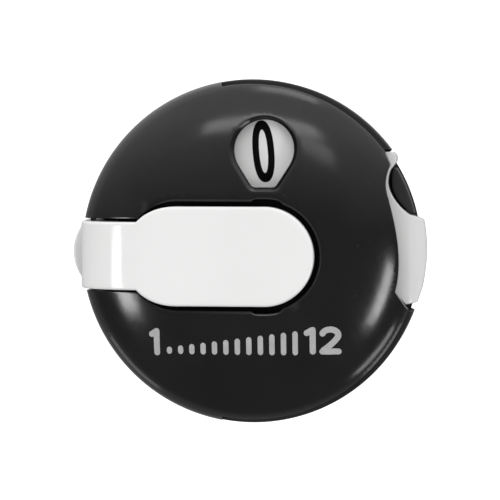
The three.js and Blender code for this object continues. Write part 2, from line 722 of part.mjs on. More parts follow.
function clipPin() {
  const reach = CLIP_LUG_Y + CLIP_LUG_WIDTH;
  return crossBar(CLIP_PIN_X, CLIP_PIN_Z, PIN_R, MID_Y - reach, MID_Y + reach);
}

// ---- Assembly -----------------------------------------------------------------------------

const blackPlastic = { color: 0x1f1f21, roughness: 0.28, metalness: 0 };
const whitePlastic = { color: 0xe4e4e2, roughness: 0.35, metalness: 0 };
const discPlastic = { color: 0xcfcfcd, roughness: 0.5, metalness: 0 };
const gearPlastic = { color: 0xd9d3c0, roughness: 0.45, metalness: 0 };
const steel = { color: 0xb4b6ba, roughness: 0.3, metalness: 1 };
const springSteel = { color: 0x8f9195, roughness: 0.35, metalness: 1 };

const group = new THREE.Group();

function place(name, solid, finish) {
  const mesh = new THREE.Mesh(toGeometry(solid), new THREE.MeshStandardMaterial(finish));
  mesh.name = name;
  group.add(mesh);
}

place('rear_case', rearCase(), blackPlastic);
place('front_cover', frontCover(), blackPlastic);
place('guard_plate', guardPlate(), blackPlastic);
screwSpots.forEach(([x, y], i) => place(`case_screw_${i + 1}`, caseScrew(x, y), steel));
place('axle_pin', axlePin(), steel);
place('axle_clip', axleClip(), springSteel);
place('number_disc', numberDisc(), discPlastic);
place('drive_ratchet', driveRatchet(), gearPlastic);
place('click_wheel', clickWheel(), gearPlastic);
place('click_spring', clickSpring(), springSteel);
place('return_spring', returnSpring(), springSteel);
place('count_button', countButton(), whitePlastic);
place('drive_pawl', drivePawl(), springSteel);
place('button_hinge_pin', buttonHingePin(), steel);
place('button_spring', buttonSpring(), springSteel);
place('reset_lever', resetLever(), whitePlastic);
place('reset_lever_pin', resetLeverPin(), steel);
place('reset_spring', resetSpring(), springSteel);
place('belt_clip', beltClip(), whitePlastic);
place('clip_pin', clipPin(), steel);
place('clip_spring', clipSpring(), springSteel);

export default group;
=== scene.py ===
"""Round hand tally counter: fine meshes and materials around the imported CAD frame.

Shape helpers work in millimetres in the row frame; mesh_object() turns them into metres.
"""

import json
import math

import bpy
import numpy as np
from mathutils import Matrix, Vector
from mathutils.geometry import delaunay_2d_cdt
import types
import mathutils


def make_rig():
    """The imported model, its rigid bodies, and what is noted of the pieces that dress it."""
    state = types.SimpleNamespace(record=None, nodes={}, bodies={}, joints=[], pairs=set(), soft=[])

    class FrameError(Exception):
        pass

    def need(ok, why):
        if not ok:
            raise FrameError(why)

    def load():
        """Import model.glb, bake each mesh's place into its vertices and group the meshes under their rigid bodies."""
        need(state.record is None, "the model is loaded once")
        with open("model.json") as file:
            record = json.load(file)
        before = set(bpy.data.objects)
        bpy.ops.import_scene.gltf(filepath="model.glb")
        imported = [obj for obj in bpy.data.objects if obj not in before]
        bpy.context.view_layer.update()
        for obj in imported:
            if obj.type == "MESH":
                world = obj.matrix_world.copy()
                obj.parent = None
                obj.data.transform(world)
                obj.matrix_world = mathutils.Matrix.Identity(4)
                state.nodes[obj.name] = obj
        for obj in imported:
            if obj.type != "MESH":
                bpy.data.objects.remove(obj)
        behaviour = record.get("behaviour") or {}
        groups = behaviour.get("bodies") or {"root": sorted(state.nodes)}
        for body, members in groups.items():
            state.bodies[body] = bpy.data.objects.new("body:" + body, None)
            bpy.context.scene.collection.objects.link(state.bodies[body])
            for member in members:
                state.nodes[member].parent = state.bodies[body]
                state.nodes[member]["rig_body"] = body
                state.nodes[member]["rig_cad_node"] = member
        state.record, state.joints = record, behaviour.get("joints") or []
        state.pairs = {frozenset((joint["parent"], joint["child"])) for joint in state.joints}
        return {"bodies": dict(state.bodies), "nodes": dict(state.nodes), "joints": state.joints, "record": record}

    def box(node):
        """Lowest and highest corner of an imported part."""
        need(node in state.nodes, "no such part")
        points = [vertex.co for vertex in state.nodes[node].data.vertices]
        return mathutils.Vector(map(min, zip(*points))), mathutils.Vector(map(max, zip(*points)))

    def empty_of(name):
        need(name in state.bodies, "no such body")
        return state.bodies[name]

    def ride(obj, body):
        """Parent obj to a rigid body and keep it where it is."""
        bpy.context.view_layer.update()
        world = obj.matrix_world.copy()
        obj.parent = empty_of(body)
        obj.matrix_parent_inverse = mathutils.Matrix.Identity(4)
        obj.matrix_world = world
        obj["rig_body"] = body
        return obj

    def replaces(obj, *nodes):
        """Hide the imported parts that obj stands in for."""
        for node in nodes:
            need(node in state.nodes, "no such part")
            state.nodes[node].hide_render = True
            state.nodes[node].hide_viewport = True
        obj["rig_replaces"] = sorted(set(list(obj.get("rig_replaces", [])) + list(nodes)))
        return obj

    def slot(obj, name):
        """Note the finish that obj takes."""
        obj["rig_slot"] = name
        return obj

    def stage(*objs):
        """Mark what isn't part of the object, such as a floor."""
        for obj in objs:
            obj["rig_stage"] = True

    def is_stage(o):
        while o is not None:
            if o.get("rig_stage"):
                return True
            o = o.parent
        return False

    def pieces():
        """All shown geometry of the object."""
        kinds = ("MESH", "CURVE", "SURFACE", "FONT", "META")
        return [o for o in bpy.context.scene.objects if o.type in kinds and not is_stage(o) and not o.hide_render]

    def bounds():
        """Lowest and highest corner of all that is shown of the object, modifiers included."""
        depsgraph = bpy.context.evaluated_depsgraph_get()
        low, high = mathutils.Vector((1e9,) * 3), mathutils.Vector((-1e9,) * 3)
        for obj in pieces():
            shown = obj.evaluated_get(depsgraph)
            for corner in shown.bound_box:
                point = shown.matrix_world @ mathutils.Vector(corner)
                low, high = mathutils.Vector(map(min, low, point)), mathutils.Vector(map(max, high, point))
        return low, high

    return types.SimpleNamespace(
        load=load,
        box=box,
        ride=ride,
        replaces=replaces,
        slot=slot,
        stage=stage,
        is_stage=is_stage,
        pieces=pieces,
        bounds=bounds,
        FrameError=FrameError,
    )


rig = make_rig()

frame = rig.load()
CAD_BOUNDS = [list(corner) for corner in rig.bounds()]
MM = 0.001

# ---- Places and sizes taken from the frame, in millimetres ---


def box_mm(node):
    low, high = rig.box(node)
    return np.array(low) / MM, np.array(high) / MM


def joint_mm(name):
    joint = next(j for j in frame["joints"] if j["name"] == name)
    return np.array(joint["pos_m"]) / MM


button_low, button_high = box_mm("count_button")
disc_low, disc_high = box_mm("number_disc")
clip_low, clip_high = box_mm("belt_clip")

HINGE = joint_mm("button_press")
AXIS = joint_mm("disc_count")
LEVER_PIN = joint_mm("reset_press")
CLIP_PIN = joint_mm("clip_open")

BODY_R = box_mm("rear_case")[1][1]
COVER_Z = box_mm("front_cover")[0][2]
WALL = 1.1
INNER_R = BODY_R - WALL
RIM_Z = COVER_Z - 0.05
BACK_Z = 4.0
FLOOR_Z = 5.2
FLOOR_R = 17.2
CREASE = 0.02
DOME_FOOT_Z = COVER_Z + 0.25
DOME_RISE = 5.4
INNER_RISE = 4.3
DOME_POWER = 2.6
RIGHT_R = BODY_R - 0.6
SET_BACK_ANGLE = 100

SCREW_ANGLES = (135, 225, 300)
SCREW_CIRCLE_R = 17
SCREW_HEAD_R = 1.5
SCREW_WELL_R = 1.7
SCREW_WELL_Z = 5.6
SCREW_POST_R = 1.9

LEVER_ROOM_X = 14.6
LEVER_ROOM_Y = (-6.9, 11.85)
LEVER_ROOM_Z = 5.75
LEVER_FOOT_Z = box_mm("reset_lever")[0][2]
LEDGE_TOP_Z = 9.7
NECK_ROOM_Z = 6.3

MID_Y = HINGE[1]
PILL_R = (button_high[1] - button_low[1]) / 2
PILL_X = button_high[0] - PILL_R
PILL_LEFT_X = -8.1
BEND_X = -10.6
NECK_X = -12.7
NECK_HALF = 3.9
BUTTON_TOP_Z = button_high[2]
BUTTON_THICKNESS = 1.5
SLOT_GAP = 0.55
NECK_GAP = 0.33
SLOT_WALL = 0.9
SLOT_FOOT_Z = 13.2
SLOT_LIP = 0.25
SLOT_LIP_SLOPE = 0.42
SLOT_RELIEF_X = (0.5, 3.8)
SLOT_RELIEF = 0.28
BARREL_R = 2.0
PIN_R = 0.6
PIN_BORE = PIN_R + 0.06

DISC_R = disc_high[0] - AXIS[0]
DISC_TOP_Z = disc_high[2]
POSITIONS = 14
PITCH = 2 * math.pi / POSITIONS

WINDOW_X = 1.85
WINDOW_Y = 11.85
WINDOW_R = 3.43
WINDOW_FOOT_Y = 7.53
WINDOW_FOOT_HALF = 0.95
WINDOW_SIDE_X = 1.56
WINDOW_SIDE_RISE = 0.36
WINDOW_ARC_START = -32
CHAMFER = 0.5
CHAMFER_LIP = 0.12
CHAMFER_SLOPE = 1.1

FIGURE_R = 9.67
FIGURE_HEIGHT = 7.15
PAIR_HEIGHT = 5.2
PAIR_STEP = 2.7
FIGURE_STROKE = 0.85
FIRST_FIGURE_ANGLE = 94.7

# ---- Small geometry ------------------------------------------


def arc(x, y, radius, start, end, count):
    """Points on an arc, its angles in degrees."""
    turn = np.radians(np.linspace(start, end, count))
    return np.stack([x + radius * np.cos(turn), y + radius * np.sin(turn)], 1)


def line(start, end, step=0.4):
    count = max(2, int(math.ceil(math.dist(start, end) / step)) + 1)
    return np.linspace(start, end, count)


def bezier(a, b, c, d, count=16):
    t = np.linspace(0, 1, count)[:, None]
    a, b, c, d = (np.array(p, float) for p in (a, b, c, d))
    return a * (1 - t) ** 3 + 3 * b * t * (1 - t) ** 2 + 3 * c * t * t * (1 - t) + d * t**3


def quadratic(a, b, c, count=14):
    a, b, c = (np.array(p, float) for p in (a, b, c))
    return bezier(a, a + (b - a) * 2 / 3, c + (b - c) * 2 / 3, c, count)


def path(*pieces):
    """Joins runs of points and drops the repeated ones."""
    points = np.concatenate([np.atleast_2d(p) for p in pieces])
    gap = np.linalg.norm(points - np.roll(points, 1, 0), axis=1)
    return points[gap > 1e-4]


def box_loop(x0, x1, y0, y1, step=0.4):
    corners = [(x0, y0), (x1, y0), (x1, y1), (x0, y1)]
    return path(*[line(corners[i], corners[(i + 1) % 4], step) for i in range(4)])


def area_of(loop):
    after = np.roll(loop, -1, 0)
    return 0.5 * np.sum(loop[:, 0] * after[:, 1] - after[:, 0] * loop[:, 1])


def offset(loop, distance):
    """The loop moved outwards by a distance, or inwards by a negative one."""
    loop = loop if area_of(loop) > 0 else loop[::-1]
    ahead = np.roll(loop, -1, 0) - loop
    ahead /= np.linalg.norm(ahead, axis=1)[:, None]
    normal = np.stack([ahead[:, 1], -ahead[:, 0]], 1)
    both = normal + np.roll(normal, 1, 0)
    both /= np.maximum(1e-9, np.linalg.norm(both, axis=1))[:, None]
    miter = np.maximum(0.5, np.sum(both * normal, 1))[:, None]
    return loop + both * distance / miter


def inside(loop, points):
    x, y = points[:, 0][:, None], points[:, 1][:, None]
    x0, y0 = loop[:, 0][None], loop[:, 1][None]
    x1, y1 = np.roll(loop[:, 0], -1)[None], np.roll(loop[:, 1], -1)[None]
    spans = (y0 > y) != (y1 > y)
    rise = np.where(np.abs(y1 - y0) < 1e-12, 1e-12, y1 - y0)
    return (np.sum(spans & (x < (x1 - x0) * (y - y0) / rise + x0), 1) % 2) == 1


def distance_to(starts, ends, points):
    """Each point's distance to the nearest of some straight pieces."""
    best = np.full(len(points), 1e9)
    run = ends - starts
    square = np.maximum(1e-12, np.sum(run * run, 1))
    for first in range(0, len(points), 2000):
        block = points[first:first + 2000]
        share = np.einsum("nmk,mk->nm", block[:, None] - starts[None], run) / square
        share = np.clip(share, 0, 1)[..., None]
        away = block[:, None] - (starts[None] + share * run[None])
        best[first:first + 2000] = np.min(np.linalg.norm(away, axis=2), 1)
    return best


def distance_to_loops(loops, points):
    starts = np.concatenate(loops)
    ends = np.concatenate([np.roll(loop, -1, 0) for loop in loops])
    return distance_to(starts, ends, points)


def grid_dots(low, high, step):
    """Rows of points, every second row shifted by half a step."""
    rows = []
    for i, y in enumerate(np.arange(low[1], high[1], step * 0.87)):
        x = np.arange(low[0] + (i % 2) * step / 2, high[0], step)
        rows.append(np.stack([x, np.full_like(x, y)], 1))
    return np.concatenate(rows)


def round_over(distance, radius):
    """How far a rounded edge drops at a distance in from it."""
    if radius <= 0:
        return np.zeros_like(distance)
    near = np.clip(radius - distance, 0, radius)
    return radius - np.sqrt(radius * radius - near * near)


def level(height):
    """A height function that is the same everywhere."""
    return lambda x, y: np.full_like(x, height)


# ---- Closed bodies, each a pair of points and faces ----------


def loops_to_follow(outer, cuts, ridges, rounding, steps):
    """The loops a plate's mesh follows, and their edges. Rows set in from each outline carry its rounding."""
    points, edges = [], []

    def add_loop(loop):
        start = sum(len(p) for p in points)
        points.append(loop)
        edges.extend((start + i, start + (i + 1) % len(loop)) for i in range(len(loop)))

    rows = steps if rounding > 0 else 0
    for loop, side in [(outer, -1), *((cut, 1) for cut in cuts)]:
        add_loop(loop)
        for k in range(1, rows + 1):
            add_loop(offset(loop, side * rounding * (1 - math.cos(k * math.pi / 2 / steps))))
    for loop in ridges:
        add_loop(loop)
    return points, edges


def within(outer, cuts, points):
    """Which points lie inside the outline and outside every cut."""
    keep = inside(outer, points)
    for cut in cuts:
        keep &= ~inside(cut, points)
    return keep


def triangulate(outer, cuts, points, edges):
    """Flat triangles, all turned the same way, that fill the outline and keep to the edges."""
    made = delaunay_2d_cdt([Vector(p) for p in points], edges, [], 0, 1e-5)
    flat = np.array([tuple(v) for v in made[0]])
    faces = np.array([f for f in made[2] if len(f) == 3])
    faces = faces[within(outer, cuts, flat[faces].mean(1))]
    a, b, c = (flat[faces[:, i]] for i in range(3))
    turned_over = (b - a)[:, 0] * (c - a)[:, 1] - (b - a)[:, 1] * (c - a)[:, 0] < 0
    faces[turned_over] = faces[turned_over][:, ::-1]
    used, places = np.unique(faces, return_inverse=True)
    return flat[used], places.reshape(faces.shape)


def rim_edges(faces):
    """The edges that only one triangle uses, each in that triangle's direction."""
    directed = dict.fromkeys((face[i], face[(i + 1) % 3]) for face in faces for i in range(3))
    return np.array([e for e in directed if (e[1], e[0]) not in directed])


def plate(
    outer, top, bottom, cuts=(), soften=(0.2, 0.2), spacing=0.7, dots=None, ridges=(), steps=4, bend=None,
):
    """A body between two height functions, inside one outline and outside others, its edges rounded."""
    rounding = max(soften)
    points, edges = loops_to_follow(outer, cuts, ridges, rounding, steps)
    if dots is None:
        dots = grid_dots(outer.min(0), outer.max(0), spacing)
    dots = dots[within(outer, cuts, dots)]
    dots = dots[distance_to_loops([outer, *cuts], dots) > rounding + spacing * 0.35]
    if len(ridges):
        dots = dots[distance_to_loops(ridges, dots) > spacing * 0.3]
    flat, faces = triangulate(outer, cuts, np.concatenate([*points, dots]), edges)
    rim = rim_edges(faces)
    near = distance_to(flat[rim[:, 0]], flat[rim[:, 1]], flat)
    x, y = flat[:, 0], flat[:, 1]
    upper = np.stack([x, y, top(x, y) - round_over(near, soften[0])], 1)
    lower = np.stack([x, y, bottom(x, y) + round_over(near, soften[1])], 1)
    solid = np.concatenate([upper, lower])
    if bend is not None:
        solid = bend(solid)
    n = len(flat)
    walls = [(b, a, a + n, b + n) for a, b in rim]
    return solid, [*map(tuple, faces), *map(tuple, faces[:, ::-1] + n), *walls]


def lathe(profile, segments=64, centre=(0, 0), ring=False):
    """A (radius, z) profile turned about a vertical line. It ends on the axis, or closes as a ring."""
    x, y = centre
    turn = np.linspace(0, 2 * math.pi, segments, endpoint=False)
    points, rows = [], []
    for radius, z in profile:
        if radius < 1e-6:
            rows.append([len(points)] * segments)
            points.append((x, y, z))
        else:
            rows.append(list(range(len(points), len(points) + segments)))
            points.extend((x + radius * math.cos(t), y + radius * math.sin(t), z) for t in turn)
    pairs = list(zip(rows, rows[1:]))
    if ring:
        pairs.append((rows[-1], rows[0]))
    faces = []
    for low, high in pairs:
        for i in range(segments):
            j = (i + 1) % segments
            corners = [low[i], low[j], high[j], high[i]]
            face = [v for k, v in enumerate(corners) if v != corners[k - 1]]
            if len(face) > 2:
                faces.append(tuple(face))
    return np.array(points, float), faces


def rod(radius, start, end, edge=0.08, segments=32, bore=0.0):
    """A round bar or tube from start to end along Y, with bevelled ends."""
    low, high = start[1], end[1]
    profile = [
        (bore, low), (radius - edge, low), (radius, low + edge),
        (radius, high - edge), (radius - edge, high), (bore, high),
    ]
    points, faces = lathe(profile, segments, ring=bool(bore))
    along_y = np.stack([start[0] + points[:, 0], points[:, 2], start[2] + points[:, 1]], 1)
    return along_y, [f[::-1] for f in faces]


def block(x, y, z, edge=0.12):
    """A box with bevelled edges, built as a plate."""
    outline = box_loop(*x, *y, 1.2)
    return plate(outline, level(z[1]), level(z[0]), soften=(edge, edge), spacing=1.2, steps=3)


def with_round_ends(points, width):
    """An open stroke's points with a cap at each end, and the direction and half width at each."""
    ahead = np.gradient(points, axis=0)
    first = ahead[0] / np.linalg.norm(ahead[0])
    last = ahead[-1] / np.linalg.norm(ahead[-1])
    cap = np.sin(np.linspace(0, math.pi / 2, 5)[1:])[:, None]
    cap[-1] = 0.995
    before = points[0] - first * cap[::-1] * width / 2
    after = points[-1] + last * cap * width / 2
    round_end = np.sqrt(1 - cap[:, 0] ** 2) * width / 2
    widths = np.concatenate([round_end[::-1], np.full(len(points), width / 2), round_end])
    ahead = np.concatenate([np.tile(first, (len(cap), 1)), ahead, np.tile(last, (len(cap), 1))])
    return np.concatenate([before, points, after]), ahead, widths


def ribbon(points, width, surface, lift=0.02, sink=0.03, closed=False):
    """A thin printed stroke that follows a surface. An open one has round ends."""
    points = np.array(points, float)
    if closed:
        ahead = np.roll(points, -1, 0) - np.roll(points, 1, 0)
        widths = np.full(len(points), width / 2)
    else:
        points, ahead, widths = with_round_ends(points, width)
    ahead /= np.linalg.norm(ahead, axis=1)[:, None]
    normal = np.stack([-ahead[:, 1], ahead[:, 0]], 1) * widths[:, None]
    left, right = points + normal, points - normal
    rows = []
    for edge, rise in ((left, lift), (right, lift), (right, -sink), (left, -sink)):
        rows.append(np.stack([edge[:, 0], edge[:, 1], surface(edge[:, 0], edge[:, 1]) + rise], 1))
    n = len(points)
    faces = []
    for i in range(n if closed else n - 1):
        j = (i + 1) % n
        for r in range(4):
            s = (r + 1) % 4
            faces.append((r * n + i, s * n + i, s * n + j, r * n + j))
    if not closed:
        faces.append((0, 3 * n, 2 * n, n))
        faces.append((n - 1, 2 * n - 1, 3 * n - 1, 4 * n - 1))
    return np.concatenate(rows), faces


def mesh_object(name, bodies, material, body, slot, replaced=(), sharp=38):
    """Joins closed bodies into one object that rides on a CAD body."""
    points, faces, start = [], [], 0
    for solid, body_faces in bodies:
        points.append(solid)
        faces.extend(tuple(int(v) + start for v in face) for face in body_faces)
        start += len(solid)
    mesh = bpy.data.meshes.new(name)
    mesh.from_pydata((np.concatenate(points) * MM).tolist(), [], faces)
    mesh.validate()
    mesh.shade_smooth()
    mesh.set_sharp_from_angle(angle=math.radians(sharp))
    mesh.materials.append(material)
    made = bpy.data.objects.new(name, mesh)
    bpy.context.scene.collection.objects.link(made)
    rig.ride(made, body)
    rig.slot(made, slot)
    if replaced:
        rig.replaces(made, *replaced)


# ---- Materials -----------------------------------------------


SOCKETS = {"colour": "Base Color", "ior": "IOR", "specular": "Specular IOR Level"}


class Nodes:
    """A short way to write one material's node tree."""

    def __init__(self, name):
        self.material = bpy.data.materials.new(name)
        self.material.use_nodes = True
        self.tree = self.material.node_tree
        self.shader = self.tree.nodes["Principled BSDF"]

    def add(self, kind, inputs=None, **settings):
        node = self.tree.nodes.new(kind)
        for key, value in settings.items():
            setattr(node, key, value)
        for key, value in (inputs or {}).items():
            if isinstance(value, bpy.types.NodeSocket):
                self.tree.links.new(value, node.inputs[key])
            else:
                node.inputs[key].default_value = value
        return node

    def set(self, **values):
        for key, value in values.items():
            socket = self.shader.inputs[SOCKETS.get(key, key.capitalize())]
            if isinstance(value, bpy.types.NodeSocket):
                self.tree.links.new(value, socket)
            else:
                socket.default_value = value

    def place(self):
        return self.add("ShaderNodeTexCoord").outputs["Object"]

    def noise(self, scale, detail=3.0, roughness=0.5):
        settings = {"Vector": self.place(), "Scale": scale, "Detail": detail, "Roughness": roughness}
        return self.add("ShaderNodeTexNoise", settings).outputs["Fac"]

    def streaks(self, stretch, turn, scale, distortion):
        """Noise drawn out along one direction on the face, turned by an angle from +Y."""
        settings = {"Vector": self.place(), "Rotation": (0, 0, turn), "Scale": (1, stretch, 1)}
        along = self.add("ShaderNodeMapping", settings, vector_type="TEXTURE").outputs[0]
        noise = {"Vector": along, "Scale": scale, "Detail": 3.0, "Distortion": distortion}
        return self.add("ShaderNodeTexNoise", noise).outputs["Fac"]

    def ramp(self, value, low, high, start=0.3, end=0.7):
        """Maps a value onto two colours or two numbers."""
        node = self.add("ShaderNodeValToRGB", {"Fac": value})
        for stop, position, tone in zip(node.color_ramp.elements, (start, end), (low, high)):
            stop.position = position
            stop.color = (*tone, 1) if isinstance(tone, tuple) else (tone, tone, tone, 1)
        return node.outputs["Color"]

    def mix(self, share, first, second):
        """A colour that goes from the first to the second as the share grows."""
        inputs = {"Fac": share, "Color1": first, "Color2": second}
        return self.add("ShaderNodeMixRGB", inputs).outputs[0]

    def total(self, first, second):
        return self.add("ShaderNodeMath", {0: first, 1: second}, operation="ADD").outputs[0]

    def worn_edges(self, most, end):
        """How strongly raised edges show wear, from 0 up to the most given."""
        edge = self.add("ShaderNodeNewGeometry").outputs["Pointiness"]
        return self.ramp(edge, 0.0, most, 0.53, end)

    def bump(self, value, distance, strength=1.0, normal=None):
        inputs = {"Height": value, "Distance": distance, "Strength": strength}
        if normal is not None:
            inputs["Normal"] = normal
        return self.add("ShaderNodeBump", inputs).outputs["Normal"]


def gloss_black():
    """Glossy moulded plastic with orange peel, fine handling scratches, dull smears and a little dust."""
    n = Nodes("gloss_black_plastic")
    cloud = n.noise(140, 4)
    smears = n.streaks(5, 0.9, 260, 2.0)
    grid = {"Vector": n.place(), "Scale": 520, "Randomness": 1.0}
    specks = n.ramp(n.add("ShaderNodeTexVoronoi", grid).outputs["Distance"], 1.0, 0.0, 0.02, 0.05)
    base = n.ramp(cloud, (0.0055, 0.0055, 0.0060), (0.0078, 0.0078, 0.0083))
    rubbed = n.mix(n.worn_edges(1.0, 0.62), base, (0.016, 0.016, 0.017, 1))
    polish = n.ramp(cloud, 0.13, 0.16)
    haze = n.ramp(smears, 0.0, 0.045, 0.45, 0.75)
    peel = n.bump(n.noise(420, 2), 0.00002, 0.3)
    fine = n.bump(n.noise(2600, 2), 0.000006, 0.3, peel)
    first = n.bump(n.ramp(n.streaks(26, 0.75, 1500, 0.3), 0.0, 1.0, 0.66, 0.7), 0.000005, 0.22, fine)
    crossed = n.bump(n.ramp(n.streaks(26, -0.5, 1300, 0.3), 0.0, 1.0, 0.67, 0.71), 0.000005, 0.22, first)
    n.set(colour=n.mix(specks, rubbed, (0.03, 0.03, 0.03, 1)), roughness=n.total(polish, haze))
    n.set(ior=1.5, specular=0.5, normal=crossed)
    return n.material


def satin_black(name, tone, shine):
    """Black plastic with a fine, dull moulded skin."""
    n = Nodes(name)
    cloud = n.noise(110, 4)
    grain = n.add("ShaderNodeTexVoronoi", {"Vector": n.place(), "Scale": 2600}).outputs["Distance"]
    base = n.ramp(cloud, (tone, tone, tone * 1.05), (tone * 1.5, tone * 1.5, tone * 1.6))
    rubbed = n.mix(n.worn_edges(1.0, 0.64), base, (tone * 3.5, tone * 3.5, tone * 3.6, 1))
    n.set(colour=rubbed, roughness=n.ramp(cloud, 0.4, 0.52), ior=1.5, specular=shine)
    n.set(normal=n.bump(grain, 0.00002, 0.35))
    return n.material


def gloss_white(name, tone):
    """White moulded plastic: faint flow clouds, light scuffs, and slightly greyed edges."""
    n = Nodes(name)
    cloud = n.noise(90, 3)
    scuffed = {"Vector": n.place(), "Scale": 700, "Detail": 6.0, "Distortion": 3.0}
    marks = n.add("ShaderNodeTexNoise", scuffed).outputs["Fac"]
    low = tuple(tone * share for share in (0.965, 0.965, 0.96))
    base = n.ramp(cloud, low, (tone, tone, tone * 0.995))
    polish = n.ramp(cloud, 0.1, 0.13)
    haze = n.ramp(marks, 0.0, 0.07, 0.52, 0.75)
    n.set(colour=n.mix(n.worn_edges(0.35, 0.63), base, (0.7, 0.7, 0.69, 1)))
    n.set(roughness=n.total(polish, haze), ior=1.48, normal=n.bump(n.noise(1200, 3), 0.000008, 0.3))
    return n.material


def dial_grey():
    """The number disc: satin light grey with faint turning marks about its axis."""
    n = Nodes("dial_grey_plastic")
    centre = tuple(-AXIS * MM)
    shifted = n.add("ShaderNodeMapping", {"Vector": n.place(), "Location": centre}).outputs[0]
    rings = n.add(
        "ShaderNodeTexWave",
        {"Vector": shifted, "Scale": 900.0, "Distortion": 0.6, "Detail": 2.0},
        wave_type="RINGS", rings_direction="Z",
    ).outputs["Fac"]
    cloud = n.noise(160, 4)
    n.set(colour=n.ramp(cloud, (0.66, 0.66, 0.655), (0.72, 0.72, 0.715)))
    n.set(roughness=n.ramp(rings, 0.42, 0.5), ior=1.47, normal=n.bump(rings, 0.000004, 0.2))
    return n.material


def print_ink(name, tone, spread):
    """Printed ink with a slightly uneven cover."""
    n = Nodes(name)
    cloud = n.noise(1500, 3)
    n.set(colour=n.ramp(cloud, (tone, tone, tone), (tone + spread,) * 3))
    n.set(roughness=n.ramp(cloud, 0.5, 0.64), specular=0.08, normal=n.bump(n.noise(4000, 2), 0.000004, 0.3))
    return n.material


def acetal():
    """Natural engineering plastic for the gears: a warm off-white, slightly clouded."""
    n = Nodes("acetal")
    cloud = n.noise(200, 4)
    n.set(colour=n.ramp(cloud, (0.62, 0.58, 0.46), (0.72, 0.68, 0.57)))
    n.set(roughness=n.ramp(cloud, 0.38, 0.5), normal=n.bump(n.noise(1800, 2), 0.00001, 0.3))
    return n.material


def metal(name, tone, rough, scale):
    """Steel with drawn or turned marks and a few dull spots."""
    n = Nodes(name)
    stretched = n.add("ShaderNodeMapping", {"Vector": n.place(), "Scale": scale}).outputs[0]
    marks = n.add("ShaderNodeTexNoise", {"Vector": stretched, "Scale": 2500, "Detail": 4.0}).outputs["Fac"]
    spots = n.noise(700, 4)
    n.set(colour=n.ramp(spots, tuple(tone * s for s in (0.8, 0.8, 0.81)), (tone, tone, tone * 1.02)))
    n.set(metallic=1.0, roughness=n.ramp(marks, rough, rough + 0.18), normal=n.bump(marks, 0.00001, 0.35))
    return n.material


GLOSS_BLACK = gloss_black()
SATIN_BLACK = satin_black("satin_black_plastic", 0.009, 0.5)
# Painted shade: nearly black, low-shine plastic for the plate under the slot, darker than the case so that the slot's
# gap reads as shade.
SLOT_SHADE_BLACK = satin_black("guard_black_plastic", 0.002, 0.15)
WHITE = gloss_white("gloss_white_plastic", 0.79)
LEVER_WHITE = gloss_white("lever_white_plastic", 0.68)
DIAL = dial_grey()
DIAL_INK = print_ink("dial_ink", 0.0004, 0.001)
COVER_INK = print_ink("cover_ink", 0.36, 0.06)
ACETAL = acetal()
STEEL = metal("turned_steel", 0.58, 0.24, (1, 1, 12))
SPRING = metal("spring_wire", 0.42, 0.3, (1, 1, 1))

# ---- Outlines ------------------------------------------------


def dome(x, y, edge=BODY_R, rise=DOME_RISE):
    """The height of the domed face, or of the hollow under it."""
    share = np.clip(np.hypot(x, y) / edge, 0, 1)
    return DOME_FOOT_Z + rise * np.sqrt(np.maximum(0, 1 - share**DOME_POWER))


def button_loop(pill_gap=0.0, neck_gap=0.0, end_x=-22.0):
    """The button seen from above, or its slot: a straight neck that widens into a pill."""
    pill, neck = PILL_R + pill_gap, NECK_HALF + neck_gap
    leaving, arriving = (NECK_X + 0.75, -neck - 0.85), (PILL_LEFT_X - 2.2, -pill)
    lower = path(
        line((end_x, -neck), (NECK_X, -neck)),
        bezier((NECK_X, -neck), leaving, arriving, (PILL_LEFT_X, -pill)),
        line((PILL_LEFT_X, -pill), (PILL_X, -pill)),
        arc(PILL_X, 0, pill, -90, 0, 24),
    )
    upper = lower[::-1] * [1, -1]
    return path(lower, upper) + [0, MID_Y]


def skirt_loop(end_x=-22.0):
    """The outside of the wall that hangs down round the slot."""
    return button_loop(SLOT_GAP + SLOT_WALL, NECK_GAP + SLOT_WALL, end_x)


def window_loop():
    """A round window that runs down to a short flat foot."""
    x, foot = WINDOW_X, WINDOW_FOOT_Y
    shoulder = foot + WINDOW_SIDE_RISE
    corner = (WINDOW_FOOT_HALF + WINDOW_SIDE_X) / 2 + 0.1
    return path(
        line((x - WINDOW_FOOT_HALF, foot), (x + WINDOW_FOOT_HALF, foot), 0.25),
        quadratic((x + WINDOW_FOOT_HALF, foot), (x + corner, foot), (x + WINDOW_SIDE_X, shoulder), 6),
        arc(x, WINDOW_Y, WINDOW_R, WINDOW_ARC_START, 180 - WINDOW_ARC_START, 60),
        quadratic((x - WINDOW_SIDE_X, shoulder), (x - corner, foot), (x - WINDOW_FOOT_HALF, foot), 6),
    )


def bite_loop():
    """The bite in the cover's right edge, over the reset lever."""
    outside, upper = BODY_R + 2, LEVER_ROOM_Y[1]
    return path(
        line((outside, upper), (15.4, upper)),
        line((15.4, upper), (16.15, 10.15)),
        quadratic((16.15, 10.15), (15.3, 8.2), (15.9, 6.5)),
        quadratic((15.9, 6.5), (17.95, -0.2), (16.8, -4.5), 30),
        line((16.8, -4.5), (18.1, -6.5)),
        line((18.1, -6.5), (outside, -6.5)),
    )


